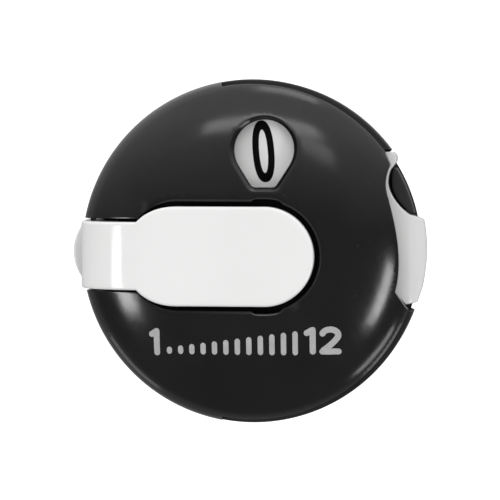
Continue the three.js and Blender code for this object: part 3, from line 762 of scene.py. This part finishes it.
def lever_loop():
    """The lever seen from above: a hooked top, a thin neck, and the thumb pad."""
    return path(
        line((15.1, 11.6), (16.25, 11.6), 0.2),
        quadratic((16.25, 11.6), (16.9, 11.3), (16.7, 10.5), 10),
        quadratic((16.7, 10.5), (16.5, 10.1), (16.08, 9.5), 8),
        quadratic((16.08, 9.5), (15.45, 7.9), (16.3, 6.5)),
        quadratic((16.3, 6.5), (16.95, 5.3), (18.2, 4.4)),
        quadratic((18.2, 4.4), (19.0, 4.1), (19.85, 3.7), 8),
        quadratic((19.85, 3.7), (20.6, 0.0), (19.7, -4.2), 26),
        line((19.7, -4.2), (19.15, -5.85)),
        line((19.15, -5.85), (17.85, -6.1)),
        line((17.85, -6.1), (16.5, -4.75)),
        quadratic((16.5, -4.75), (17.1, 0.6), (15.7, 5.4), 26),
        quadratic((15.7, 5.4), (14.9, 8.0), (15.35, 9.6)),
        line((15.35, 9.6), (15.1, 11.6)),
    )


def ledge_loop():
    """The dark ledge between the lever's neck and the edge of the case."""
    return path(
        quadratic((16.5, 9.7), (15.9, 8.0), (16.62, 6.62)),
        quadratic((16.62, 6.62), (17.2, 5.45), (18.35, 4.6)),
        line((18.35, 4.6), (18.78, 4.5), 0.2),
        arc(0, 0, 19.35, 13.5, 30, 24),
    )


def polar_dots(radii, spacing):
    """Rings of points about the middle of the case."""
    dots = []
    for k, radius in enumerate(radii):
        count = max(6, int(round(2 * math.pi * radius / spacing)))
        turn = 360 / count * (k % 2) / 2
        dots.append(arc(0, 0, radius, turn, turn + 360 - 360 / count, count))
    return np.concatenate(dots)


# ---- Front cover ---------------------------------------------


def cover_outer():
    """Full radius on the left, set back on the right so that the rear case's rim shows."""
    left = arc(0, 0, BODY_R, SET_BACK_ANGLE, 360 - SET_BACK_ANGLE, 150)
    right = arc(0, 0, RIGHT_R, -SET_BACK_ANGLE, SET_BACK_ANGLE, 190)
    return path(left, right)


def slot_loop():
    """The button's slot, with a short step outwards in each long edge."""
    slot = button_loop(SLOT_GAP, NECK_GAP)
    x, across = slot[:, 0], slot[:, 1] - MID_Y
    low, high = SLOT_RELIEF_X
    relief = (x > low) & (x < high) & (np.abs(across) > PILL_R - 0.5)
    slot[relief, 1] += np.sign(across[relief]) * SLOT_RELIEF
    return slot


def front_cover():
    """The domed shell with a bevelled window, the slot with its skirt, and the bite for the lever."""
    window, slot, skirt = window_loop(), slot_loop(), skirt_loop()

    def top(x, y):
        spots = np.stack([x, y], 1)
        run = np.clip(CHAMFER - distance_to_loops([window], spots), 0, CHAMFER)
        eased = np.where(run < CHAMFER_LIP, run * run / (2 * CHAMFER_LIP), run - CHAMFER_LIP / 2)
        lip = np.clip(SLOT_LIP - distance_to_loops([slot], spots), 0, SLOT_LIP)
        fade = np.interp(x, [BEND_X - 1, BEND_X + 1], [0, 1])
        drop = eased * CHAMFER_SLOPE + SLOT_LIP_SLOPE * lip * fade
        return np.maximum(dome(x, y), DOME_FOOT_Z + 0.05) - drop

    def bottom(x, y):
        hollow = dome(x, y, INNER_R, INNER_RISE)
        z = np.where(np.hypot(x, y) < INNER_R, hollow, COVER_Z)
        return np.where(inside(skirt, np.stack([x, y], 1)), np.minimum(z, SLOT_FOOT_Z), z)

    ridges = [arc(0, 0, INNER_R - 0.03, 0, 358, 180), arc(0, 0, INNER_R + 0.03, 0, 358, 180)]
    ridges += [offset(skirt, -CREASE), offset(skirt, CREASE)]
    ridges += [offset(window, CHAMFER - step) for step in (0, 0.04, 0.08, 0.12, 0.16, 0.3)]
    ridges += [offset(slot, SLOT_LIP - step) for step in (0, 0.02)]
    shoulder = [BODY_R * math.cos(t) for t in np.linspace(0.03, 0.75, 26)]
    crown = np.arange(shoulder[-1] - 0.55, 0, -0.55)
    shell = plate(
        cover_outer(), top, bottom, cuts=[window, slot, bite_loop()], soften=(0.05, 0.0), spacing=0.5,
        dots=polar_dots([*shoulder, *crown], 0.6), ridges=ridges, steps=3,
    )
    mesh_object("cover_shell", [shell], GLOSS_BLACK, "case", "black_plastic", ["front_cover"], sharp=32)


# ---- Rear case and guard plate -------------------------------


def case_bowl(neck_room, lever_room, screws):
    """The shallow bowl, with screw posts inside and sunk wells for the screw heads outside."""
    set_back_r = 19.5
    low, high = (math.degrees(math.asin(y / BODY_R)) for y in LEVER_ROOM_Y)
    outer = path(
        arc(0, 0, BODY_R, high, 360 + low, 300), arc(0, 0, set_back_r, low + 0.05, high - 0.05, 70),
    )

    def top(x, y):
        places = np.stack([x, y], 1)
        radius = np.hypot(x, y)
        z = np.interp(radius, [FLOOR_R, INNER_R], [FLOOR_Z, 6.5])
        z = np.where(radius > INNER_R, RIM_Z, z)
        z = np.where(inside(neck_room, places), np.minimum(z, NECK_ROOM_Z), z)
        z = np.where(inside(lever_room, places), np.minimum(z, LEVER_ROOM_Z), z)
        for spot in screws:
            z = np.where(np.hypot(x - spot[0], y - spot[1]) < SCREW_POST_R, RIM_Z, z)
        return z

    def bottom(x, y):
        z = np.interp(np.hypot(x, y), [16, 19.4, BODY_R], [BACK_Z, 5.5, 6.4])
        for spot in screws:
            z = np.where(np.hypot(x - spot[0], y - spot[1]) < SCREW_WELL_R, SCREW_WELL_Z, z)
        return z

    ridges = [arc(0, 0, r, 0, 358, 180) for r in (INNER_R - CREASE, INNER_R + CREASE, 16, FLOOR_R, 19.4)]
    for spot in screws:
        for radius in (SCREW_POST_R, SCREW_WELL_R):
            ridges += [arc(*spot, radius + gap, 0, 350, 36) for gap in (-CREASE, CREASE)]
    for room in (neck_room, lever_room):
        ridges += [offset(room, CREASE), offset(room, -CREASE)]
    return plate(outer, top, bottom, soften=(0.12, 0.2), spacing=0.9, ridges=ridges, steps=3)


def rear_case():
    """The bowl, the ledge by the lever, the cheeks of the button's hinge and the eyes of the clip's."""
    neck = NECK_HALF + NECK_GAP
    neck_room = box_loop(-BODY_R - 1, HINGE[0] + 2.5, MID_Y - neck, MID_Y + neck)
    lever_room = box_loop(LEVER_ROOM_X, BODY_R + 1, *LEVER_ROOM_Y)
    shell = case_bowl(neck_room, lever_room, [screw_place(angle) for angle in SCREW_ANGLES])
    ledge = plate(
        ledge_loop(), level(LEDGE_TOP_Z), level(LEVER_ROOM_Z - 0.15),
        soften=(0.08, 0.0), spacing=0.3, steps=3,
    )
    bodies = [shell, ledge]
    cheek_x, cheek, eye_r = (HINGE[0] - 1.1, HINGE[0] + 1.5), 1.45, 1.1
    x, z = CLIP_PIN[0], CLIP_PIN[2]
    for side in (-1, 1):
        y = sorted((MID_Y + side * neck, MID_Y + side * (neck + cheek)))
        bodies.append(block(cheek_x, y, (FLOOR_Z + 0.2, RIM_Z), 0.1))
        y = sorted((MID_Y + side * 3.3, MID_Y + side * 4.3))
        bodies.append(rod(eye_r, (x, y[0], z), (x, y[1], z), 0.1, bore=PIN_R))
        bodies.append(block((x - eye_r, x + eye_r), y, (z + 0.62, BACK_Z + 0.4), 0.06))
    mesh_object("case_shell", bodies, SATIN_BLACK, "case", "black_plastic", ["rear_case"], sharp=32)


def guard_plate():
    """The thin plate under the slot, with a window for the button's pawl. It is made nearly black, darker than the
    other black plastic, to paint the shade that shows through the slot's gap.
    """
    low, high = box_mm("guard_plate")
    window = box_loop(AXIS[0] - 4.8, AXIS[0] - 2, AXIS[1] - 1.3, AXIS[1] + 3)
    sheet = plate(
        skirt_loop(low[0]), level(high[2]), level(low[2]), cuts=[window],
        soften=(0.06, 0.06), spacing=1.0, steps=2,
    )
    mesh_object("dust_guard", [sheet], SLOT_SHADE_BLACK, "case", "black_plastic", ["guard_plate"])


def screw_place(angle):
    turn = math.radians(angle)
    return SCREW_CIRCLE_R * math.cos(turn), SCREW_CIRCLE_R * math.sin(turn)


def cross_loop(x, y, turn, arm=0.85, half=0.16):
    """A screw's cross recess, turned by an angle."""
    quarter = np.array([(arm, -half), (arm, half), (half, half)])
    cross = np.concatenate([quarter @ turned(k * math.pi / 2).T for k in range(4)])
    return cross @ turned(turn).T + [x, y]


def turned(angle):
    """The matrix that turns flat points by an angle."""
    return np.array([[math.cos(angle), -math.sin(angle)], [math.sin(angle), math.cos(angle)]])


def case_screws():
    """Pan heads with a cross recess, seen from behind in their wells."""
    for number, angle in enumerate(SCREW_ANGLES, 1):
        x, y = screw_place(angle)
        low, high = box_mm(f"case_screw_{number}")
        cross = cross_loop(x, y, math.radians(17 + 31 * number))

        def under(a, b, cross=cross, x=x, y=y, low=low):
            crowned = low[2] + 0.16 * (np.hypot(a - x, b - y) / SCREW_HEAD_R) ** 2
            return np.where(inside(cross, np.stack([a, b], 1)), low[2] + 0.45, crowned)

        head = plate(
            arc(x, y, SCREW_HEAD_R, 0, 354, 60), level(5.5), under, soften=(0.03, 0.12), spacing=0.16,
            ridges=[offset(cross, 0.015), offset(cross, -0.015)], steps=3,
        )
        tip = high[2]
        shank = lathe([(0, 5.4), (0.7, 5.4), (0.7, tip - 0.5), (0.45, tip), (0, tip)], 24, (x, y))
        mesh_object(
            f"screw_{number}", [head, shank], STEEL, "case", "steel", [f"case_screw_{number}"], sharp=30,
        )


# ---- Number disc and printed figures -------------------------


def oval(x, y, half_width, half_height, count=56, power=2.35):
    """A slightly squared oval."""
    turn = np.linspace(0, 2 * math.pi, count, endpoint=False)
    c, s = np.cos(turn), np.sin(turn)
    return np.stack([
        x + half_width * np.sign(c) * np.abs(c) ** (2 / power),
        y + half_height * np.sign(s) * np.abs(s) ** (2 / power),
    ], 1)


def figure_strokes(figure):
    """Open strokes of one figure in a box one unit high, about 0.5 wide."""
    w = 0.25
    strokes = {
        "1": [line((-0.14, 0.34), (0.06, 0.48), 0.05), line((0.06, 0.48), (0.06, -0.5), 0.05)],
        "2": [path(
            arc(0, 0.25, w, 165, -25, 18), quadratic((0.22, 0.13), (0.1, -0.12), (-0.22, -0.45), 10),
        ), line((-w, -0.5), (w, -0.5), 0.05)],
        "3": [path(arc(0, 0.245, 0.23, 150, -80, 18), arc(0, -0.235, w, 82, -150, 20))],
        "4": [
            line((0.12, -0.5), (0.12, 0.48), 0.05), line((0.12, 0.48), (-w, -0.2), 0.05),
            line((-w, -0.2), (0.27, -0.2), 0.05),
        ],
        "5": [path(
            line((0.22, 0.47), (-0.2, 0.47), 0.05), line((-0.2, 0.47), (-0.22, 0.06), 0.05),
            arc(0, -0.2, 0.27, 125, -145, 22),
        )],
        "6": [path(
            quadratic((0.16, 0.48), (-0.24, 0.3), (-w, -0.2), 12), arc(0, -0.23, w, 175, -180, 28),
        )],
        "7": [path(
            line((-w, 0.47), (w, 0.47), 0.05), quadratic((w, 0.47), (0.02, 0.05), (-0.08, -0.5), 12),
        )],
        "9": [path(
            quadratic((-0.16, -0.48), (0.24, -0.3), (w, 0.2), 12), arc(0, 0.23, w, -5, 355, 28),
        )],
    }
    return strokes[figure]


def figure_bodies(figure, size, width, put, surface, lift):
    """One printed figure, its strokes of one width; put() places its flat points."""
    if figure == "0":
        return [zero_body(size, put, surface, lift)]
    if figure == "8":
        loops = [oval(0, 0.25, 0.19, 0.215), oval(0, -0.235, 0.22, 0.23)]
        return [ribbon(put(loop * size), width, surface, lift, closed=True) for loop in loops]
    return [ribbon(put(stroke * size), width, surface, lift) for stroke in figure_strokes(figure)]


def zero_body(size, put, surface, lift):
    """A narrow zero, thicker at its sides than at its ends, and as tall as its size."""
    outer = put(oval(0, 0, 0.175, 0.5, 72) * size)
    inner = put(oval(0, 0, 0.07, 0.35, 56, 2.1) * size)

    def raised(x, y):
        return surface(x, y) + lift

    def sunk(x, y):
        return surface(x, y) - 0.03

    return plate(outer, raised, sunk, cuts=[inner], soften=(0, 0), spacing=size / 12)


def number_disc():
    """A cupped disc with a raised rim, and the lug under it that meets the case at 0 and at 12."""
    bore, cup, hub_low, hub_high = 2.06, 4.9, 9.8, 10.6
    under, edge = DISC_TOP_Z - 1, 0.12
    profile = [
        (bore, hub_low), (cup + 0.6, hub_low), (cup + 0.6, under), (DISC_R - 1.0, under),
        (DISC_R - edge, under), (DISC_R, under + edge), (DISC_R, DISC_TOP_Z - edge),
        (DISC_R - edge, DISC_TOP_Z), (DISC_R - 0.8, DISC_TOP_Z), (cup + 0.1, DISC_TOP_Z),
        (cup, DISC_TOP_Z - 0.1), (cup, hub_high), (bore, hub_high),
    ]
    disc = lathe(profile, 128, AXIS[:2], ring=True)
    middle, half = 200 + 360 / POSITIONS, 12.6
    sector = path(
        arc(*AXIS[:2], 11.2, middle - half, middle + half, 12),
        arc(*AXIS[:2], 9.8, middle + half, middle - half, 12),
    )
    lug = plate(sector, level(under + 0.3), level(disc_low[2]), soften=(0.0, 0.1), spacing=0.6, steps=2)
    mesh_object("dial_disc", [disc, lug], DIAL, "number_disc", "disc_plastic", ["number_disc"])


def dial_figures():
    """0 to 12 round the disc, standing on lines from its axis; 0 is under the window at rest."""
    bodies = []
    for number in range(POSITIONS - 1):
        turn = math.radians(FIRST_FIGURE_ANGLE) - number * PITCH
        out = np.array([math.cos(turn), math.sin(turn)])
        right = np.array([out[1], -out[0]])
        pair = number > 9
        for place, figure in enumerate(str(number)):
            shift = (place - 0.5) * PAIR_STEP if pair else 0.0

            def put(points, out=out, right=right, shift=shift):
                return AXIS[:2] + (FIGURE_R + points[:, 1:]) * out + (points[:, :1] + shift) * right

            size = PAIR_HEIGHT if pair else FIGURE_HEIGHT
            if figure != "0" and not pair:
                size -= FIGURE_STROKE
            bodies += figure_bodies(figure, size, FIGURE_STROKE, put, level(DISC_TOP_Z), 0.012)
    mesh_object("dial_figures", bodies, DIAL_INK, "number_disc", "disc_plastic")


def cover_print():
    """The count range on the cover: 1 and 12 with twelve plain rising bars between them."""
    size, stroke, lift, bar = 2.56, 0.7, 0.015, 0.62
    bodies = []
    for figure, x, y, wide in (("1", -10.75, -10.27, 1.1), ("1", 7.3, -9.96, 1.3), ("2", 9.5, -9.96, 1.42)):

        def put(points, x=x, y=y, wide=wide):
            return points * [wide, 1] + [x, y]

        bodies += figure_bodies(figure, size, stroke, put, dome, lift)
    foot = -11.7
    for x, rise in zip(np.linspace(-9.1, 5.5, 12), np.linspace(0.55, 2.5, 12)):
        bodies.append(ribbon(line((x, foot + 0.33), (x, foot + rise), 0.2), bar, dome, lift))
    mesh_object("cover_print", bodies, COVER_INK, "case", "black_plastic")


# ---- Count button --------------------------------------------


def button_curve():
    """The outer face of the button from the side: places and depth directions by distance along it."""
    side_x, side_z = -19.95, 10.6
    bent = path(
        bezier((BEND_X, BUTTON_TOP_Z), (-15.6, 16.7), (side_x, 14.6), (side_x, side_z), 60),
        line((side_x, side_z), (HINGE[0] - BARREL_R, HINGE[2]), 0.2),
    )
    steps = np.linalg.norm(np.diff(bent, axis=0), axis=1)
    reach = np.concatenate([[0], np.cumsum(steps)])
    ahead = np.gradient(bent, reach, axis=0)
    ahead /= np.linalg.norm(ahead, axis=1)[:, None]
    return reach, bent, np.stack([-ahead[:, 1], ahead[:, 0]], 1)


def count_button():
    """A flat pill and neck whose left end hooks down over the rim to the barrels of its hinge."""
    reach, bent, inward = button_curve()

    def bend(points):
        """Takes (along, across, height) to the hooked shape; along is x until the bend starts."""
        along, y, z = points.T
        run = np.clip(BEND_X - along, 0, reach[-1])
        depth = BUTTON_TOP_Z - z
        hooked_x, hooked_z = (
            np.interp(run, reach, bent[:, k]) + depth * np.interp(run, reach, inward[:, k]) for k in (0, 1)
        )
        flat = along > BEND_X
        return np.stack([np.where(flat, along, hooked_x), y, np.where(flat, z, hooked_z)], 1)

    end = BEND_X - reach[-1] + 0.02
    notch_half, notch_depth = 1.5, 2.0
    hook = plate(
        notched(button_loop(end_x=end), end, notch_half, notch_depth),
        level(BUTTON_TOP_Z), level(BUTTON_TOP_Z - BUTTON_THICKNESS),
        soften=(0.3, 0.15), spacing=0.42, steps=5, bend=bend,
    )
    bodies = [hook]
    x, z = HINGE[0], HINGE[2]
    for side in (-1, 1):
        y0, y1 = sorted((MID_Y + side * notch_half, MID_Y + side * NECK_HALF))
        bodies.append(rod(BARREL_R, (x, y0, z), (x, y1, z), 0.15, 48, PIN_BORE))
    mesh_object("thumb_button", bodies, WHITE, "count_button", "white_plastic", ["count_button"], sharp=40)


def notched(outline, end, half, depth):
    """Cuts a round-ended notch, for the spring, into the straight end of the button's outline."""
    across = outline[:, 1] - MID_Y
    at_end = np.abs(outline[:, 0] - end) < 1e-3
    kept = outline[~(at_end & (np.abs(across) < half + 0.1))]
    start = int(np.argmin(np.hypot(kept[:, 0] - end, kept[:, 1] - (MID_Y - NECK_HALF))))
    kept = np.roll(kept, -start, axis=0)
    slot = path(
        line((end, MID_Y + half), (end + depth - half, MID_Y + half), 0.3),
        arc(end + depth - half, MID_Y, half, 90, -90, 14),
        line((end + depth - half, MID_Y - half), (end, MID_Y - half), 0.3),
    )
    return path(kept, slot)


# ---- Reset lever and belt clip -------------------------------


def reset_lever():
    """The thumb pad and neck, a web and boss on the pin, and the finger that frees the disc."""
    crown_x = np.array([17.6, 18.2, 18.8, 19.3, 19.7, 20.0, 20.25])
    crown_z = np.array([9.85, 9.78, 9.55, 9.2, 8.75, 8.25, 7.7])

    def top(x, y):
        return np.interp(x, crown_x, crown_z)

    arm = plate(lever_loop(), top, level(LEVER_FOOT_Z), soften=(0.15, 0.15), spacing=0.3, steps=4)
    pin = LEVER_PIN[:2]
    web = block((pin[0], 15.9), (10.2, 11.3), (6.8, 9.45), 0.08)
    bore, boss_r, low, high = 0.76, 1.25, 6.8, 9.65
    boss = lathe([
        (bore, low), (boss_r - 0.05, low), (boss_r, low + 0.1),
        (boss_r, high - 0.1), (boss_r - 0.1, high), (bore, high),
    ], 32, pin, ring=True)
    corners = [(17.4, -3.9), (9.0, -3.9), (8.3, -4.3), (8.2, -5.0), (8.6, -5.2), (9.4, -4.7), (17.4, -5.0)]
    finger = plate(
        path(*[line(corners[i - 1], corners[i], 0.5) for i in range(len(corners))]),
        level(8.8), level(7.4), soften=(0.08, 0.08), spacing=0.5, steps=2,
    )
    bodies = [arm, web, boss, finger]
    mesh_object("side_lever", bodies, LEVER_WHITE, "reset_lever", "white_plastic", ["reset_lever"])


def belt_clip():
    """A sprung tongue: thumb tab with grip ridges at the left, flat outer face, hooked jaw at the right."""
    tab_r, jaw_r, thickness = 5.6, 5.5, 1.5
    tab_bend_x, tab_rise = -12.5, 2.1
    jaw_x, jaw_rise = [10.2, 11.1, 11.8, 12.6], 2.15
    tab, jaw = clip_low[0] + tab_r, clip_high[0] - jaw_r
    outline = path(
        arc(tab, MID_Y, tab_r, 90, 270, 50), line((tab, MID_Y - tab_r), (jaw, MID_Y - jaw_r), 0.5),
        arc(jaw, MID_Y, jaw_r, -90, 90, 50), line((jaw, MID_Y + jaw_r), (tab, MID_Y + tab_r), 0.5),
    )

    def rise(x):
        return np.interp(-x, [-tab_bend_x, -clip_low[0] + 0.5], [0, tab_rise])

    def top(x, y):
        return thickness + rise(x) + np.interp(x, jaw_x, [0, jaw_rise, jaw_rise, 0])

    def bottom(x, y):
        z = rise(x)
        for middle in np.arange(-20.6, -14.6, 0.9):
            z = z + 0.16 * np.exp(-(((x - middle) / 0.16) ** 2)) * (np.abs(y - MID_Y) < 3.4)
        return z

    folds = sorted([tab_bend_x, *jaw_x, 10.5, 10.8, 11.45, 12.2])
    creases = [box_loop(x - 0.01, x + 0.01, -8, 8) for x in folds]
    bodies = [plate(outline, top, bottom, soften=(0.3, 0.3), spacing=0.3, ridges=creases, steps=4)]
    x, z, eye_r = CLIP_PIN[0], CLIP_PIN[2], 1.15
    for side in (-1, 1):
        y = sorted((MID_Y + side * 2.1, MID_Y + side * 3.1))
        bodies.append(rod(eye_r, (x, y[0], z), (x, y[1], z), 0.1, bore=PIN_BORE))
        bodies.append(block((x - eye_r, x + eye_r), y, (thickness - 0.3, z - 0.66), 0.05))
    mesh_object("clip_tongue", bodies, WHITE, "belt_clip", "white_plastic", ["belt_clip"], sharp=35)


def carried_over():
    """The CAD's inner parts keep their meshes and take procedural materials."""
    springs = "axle_clip click_spring return_spring drive_pawl button_spring reset_spring clip_spring"
    finishes = (
        (STEEL, "axle_pin button_hinge_pin reset_lever_pin clip_pin"),
        (SPRING, springs),
        (ACETAL, "drive_ratchet click_wheel"),
    )
    for material, names in finishes:
        for name in names.split():
            node = next(o for o in bpy.data.objects if o.get("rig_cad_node") == name)
            node.data.materials.clear()
            node.data.materials.append(material)


# ---- Camera, light and floor ---------------------------------


def make_camera():
    """The photo's view: almost straight down on the face, a little from the right."""
    aim = Vector((-0.138, 0.197, 11.0)) * MM
    back = Vector((0.112, 0.043, 1.0)).normalized()
    away, half_view, sensor = 0.28, 29.005 * MM, 36
    data = bpy.data.cameras.new("camera")
    camera = bpy.data.objects.new("camera", data)
    bpy.context.scene.collection.objects.link(camera)
    right = Vector((0, 1, 0)).cross(back).normalized()
    camera.matrix_world = Matrix((
        (*right, 0), (*back.cross(right), 0), (*back, 0), (*(aim + back * away), 1),
    )).transposed()
    data.sensor_width = sensor
    data.lens = sensor / 2 * away / half_view
    data.clip_start, data.clip_end = 0.005, 10
    bpy.context.scene.camera = camera


def soft_box(name, toward, wide, high, radiance, glossy=True):
    """A rectangular light half a metre from the object in a given direction, turned towards it."""
    away = 0.5
    data = bpy.data.lights.new(name, "AREA")
    data.shape = "RECTANGLE"
    data.size, data.size_y = wide, high
    data.energy = math.pi * wide * high * radiance
    lamp = bpy.data.objects.new(name, data)
    bpy.context.scene.collection.objects.link(lamp)
    direction = Vector(toward).normalized()
    lamp.location = Vector((0, 0, 0.01)) + direction * away
    lamp.rotation_mode = "QUATERNION"
    lamp.rotation_quaternion = (-direction).to_track_quat("-Z", "Y")
    lamp.visible_glossy = glossy
    lamp.visible_camera = False


def make_stage():
    """A plain white floor, well below the object."""
    mesh = bpy.data.meshes.new("floor")
    half, z = 4.0, -0.36
    corners = [(-half, -half, z), (half, -half, z), (half, half, z), (-half, half, z)]
    mesh.from_pydata(corners, [], [(0, 1, 2, 3)])
    n = Nodes("floor_white")
    n.set(colour=n.ramp(n.noise(6, 2), (0.90, 0.90, 0.90), (0.94, 0.94, 0.94)), roughness=0.7)
    n.shader.inputs["Emission Color"].default_value = (1, 1, 1, 1)
    n.shader.inputs["Emission Strength"].default_value = 0.5
    mesh.materials.append(n.material)
    floor = bpy.data.objects.new("floor", mesh)
    bpy.context.scene.collection.objects.link(floor)
    floor.visible_glossy = False
    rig.stage(floor)


def make_world():
    """A dim grey room, lighter below the horizon and brightest towards +Y."""
    world = bpy.data.worlds.new("studio")
    world.use_nodes = True
    tree = world.node_tree
    place = tree.nodes.new("ShaderNodeTexCoord").outputs["Generated"]

    def wash(direction, start, end, low, high):
        """Brightness that goes from low to high as the sky turns towards a direction."""
        toward = tree.nodes.new("ShaderNodeVectorMath")
        toward.operation = "DOT_PRODUCT"
        toward.inputs[1].default_value = Vector(direction).normalized()
        tree.links.new(place, toward.inputs[0])
        tone = tree.nodes.new("ShaderNodeMapRange")
        for key, value in (("From Min", start), ("From Max", end), ("To Min", low), ("To Max", high)):
            tone.inputs[key].default_value = value
        tree.links.new(toward.outputs["Value"], tone.inputs["Value"])
        return tone.outputs["Result"]

    total = tree.nodes.new("ShaderNodeMath")
    tree.links.new(wash((0, 0, 1), -0.05, 0.15, 0.36, 0.18), total.inputs[0])
    tree.links.new(wash((0, 1, 0), 0.08, 0.72, 0.0, 0.9), total.inputs[1])
    tree.links.new(total.outputs[0], tree.nodes["Background"].inputs["Color"])
    bpy.context.scene.world = world
    bpy.context.scene.view_settings.view_transform = "Standard"


def sky(polar, azimuth):
    """A direction by its angle from straight up and its angle round from +X, in degrees."""
    tilt, turn = math.radians(polar), math.radians(azimuth)
    return math.sin(tilt) * math.cos(turn), math.sin(tilt) * math.sin(turn), math.cos(tilt)


def make_lights():
    """Two broad fills, and the strips and patches that the glossy parts mirror."""
    soft_box("fill", (0.15, 0.1, 0.97), 0.6, 0.6, 0.98, glossy=False)
    soft_box("side_fill", (0.8, 0.3, 0.5), 0.4, 0.3, 0.2, glossy=False)
    soft_box("top_strip", sky(36, 93), 0.3, 0.07, 3.3)
    soft_box("top_right_strip", sky(29, 66), 0.1, 0.07, 1.7)
    soft_box("right_strip", sky(41.2, -23), 0.17, 0.068, 11.0)
    soft_box("left_strip", sky(45.4, 194), 0.15, 0.094, 12.5)
    soft_box("low_right_strip", sky(74.5, -44), 0.19, 0.06, 5.0)
    soft_box("back_patch", sky(84, 82), 0.2, 0.16, 2.1)
    soft_box("right_glow", sky(97, -41), 0.2, 0.12, 2.0)
    soft_box("left_glow", sky(98, 221), 0.2, 0.12, 1.1)


make_camera()
make_stage()
make_world()
make_lights()
rear_case()
front_cover()
guard_plate()
case_screws()
number_disc()
dial_figures()
cover_print()
count_button()
reset_lever()
belt_clip()
carried_over()

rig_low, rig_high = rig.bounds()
with open("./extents.json", "w") as out:
    json.dump({"cad": CAD_BOUNDS, "visual": [list(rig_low), list(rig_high)]}, out)
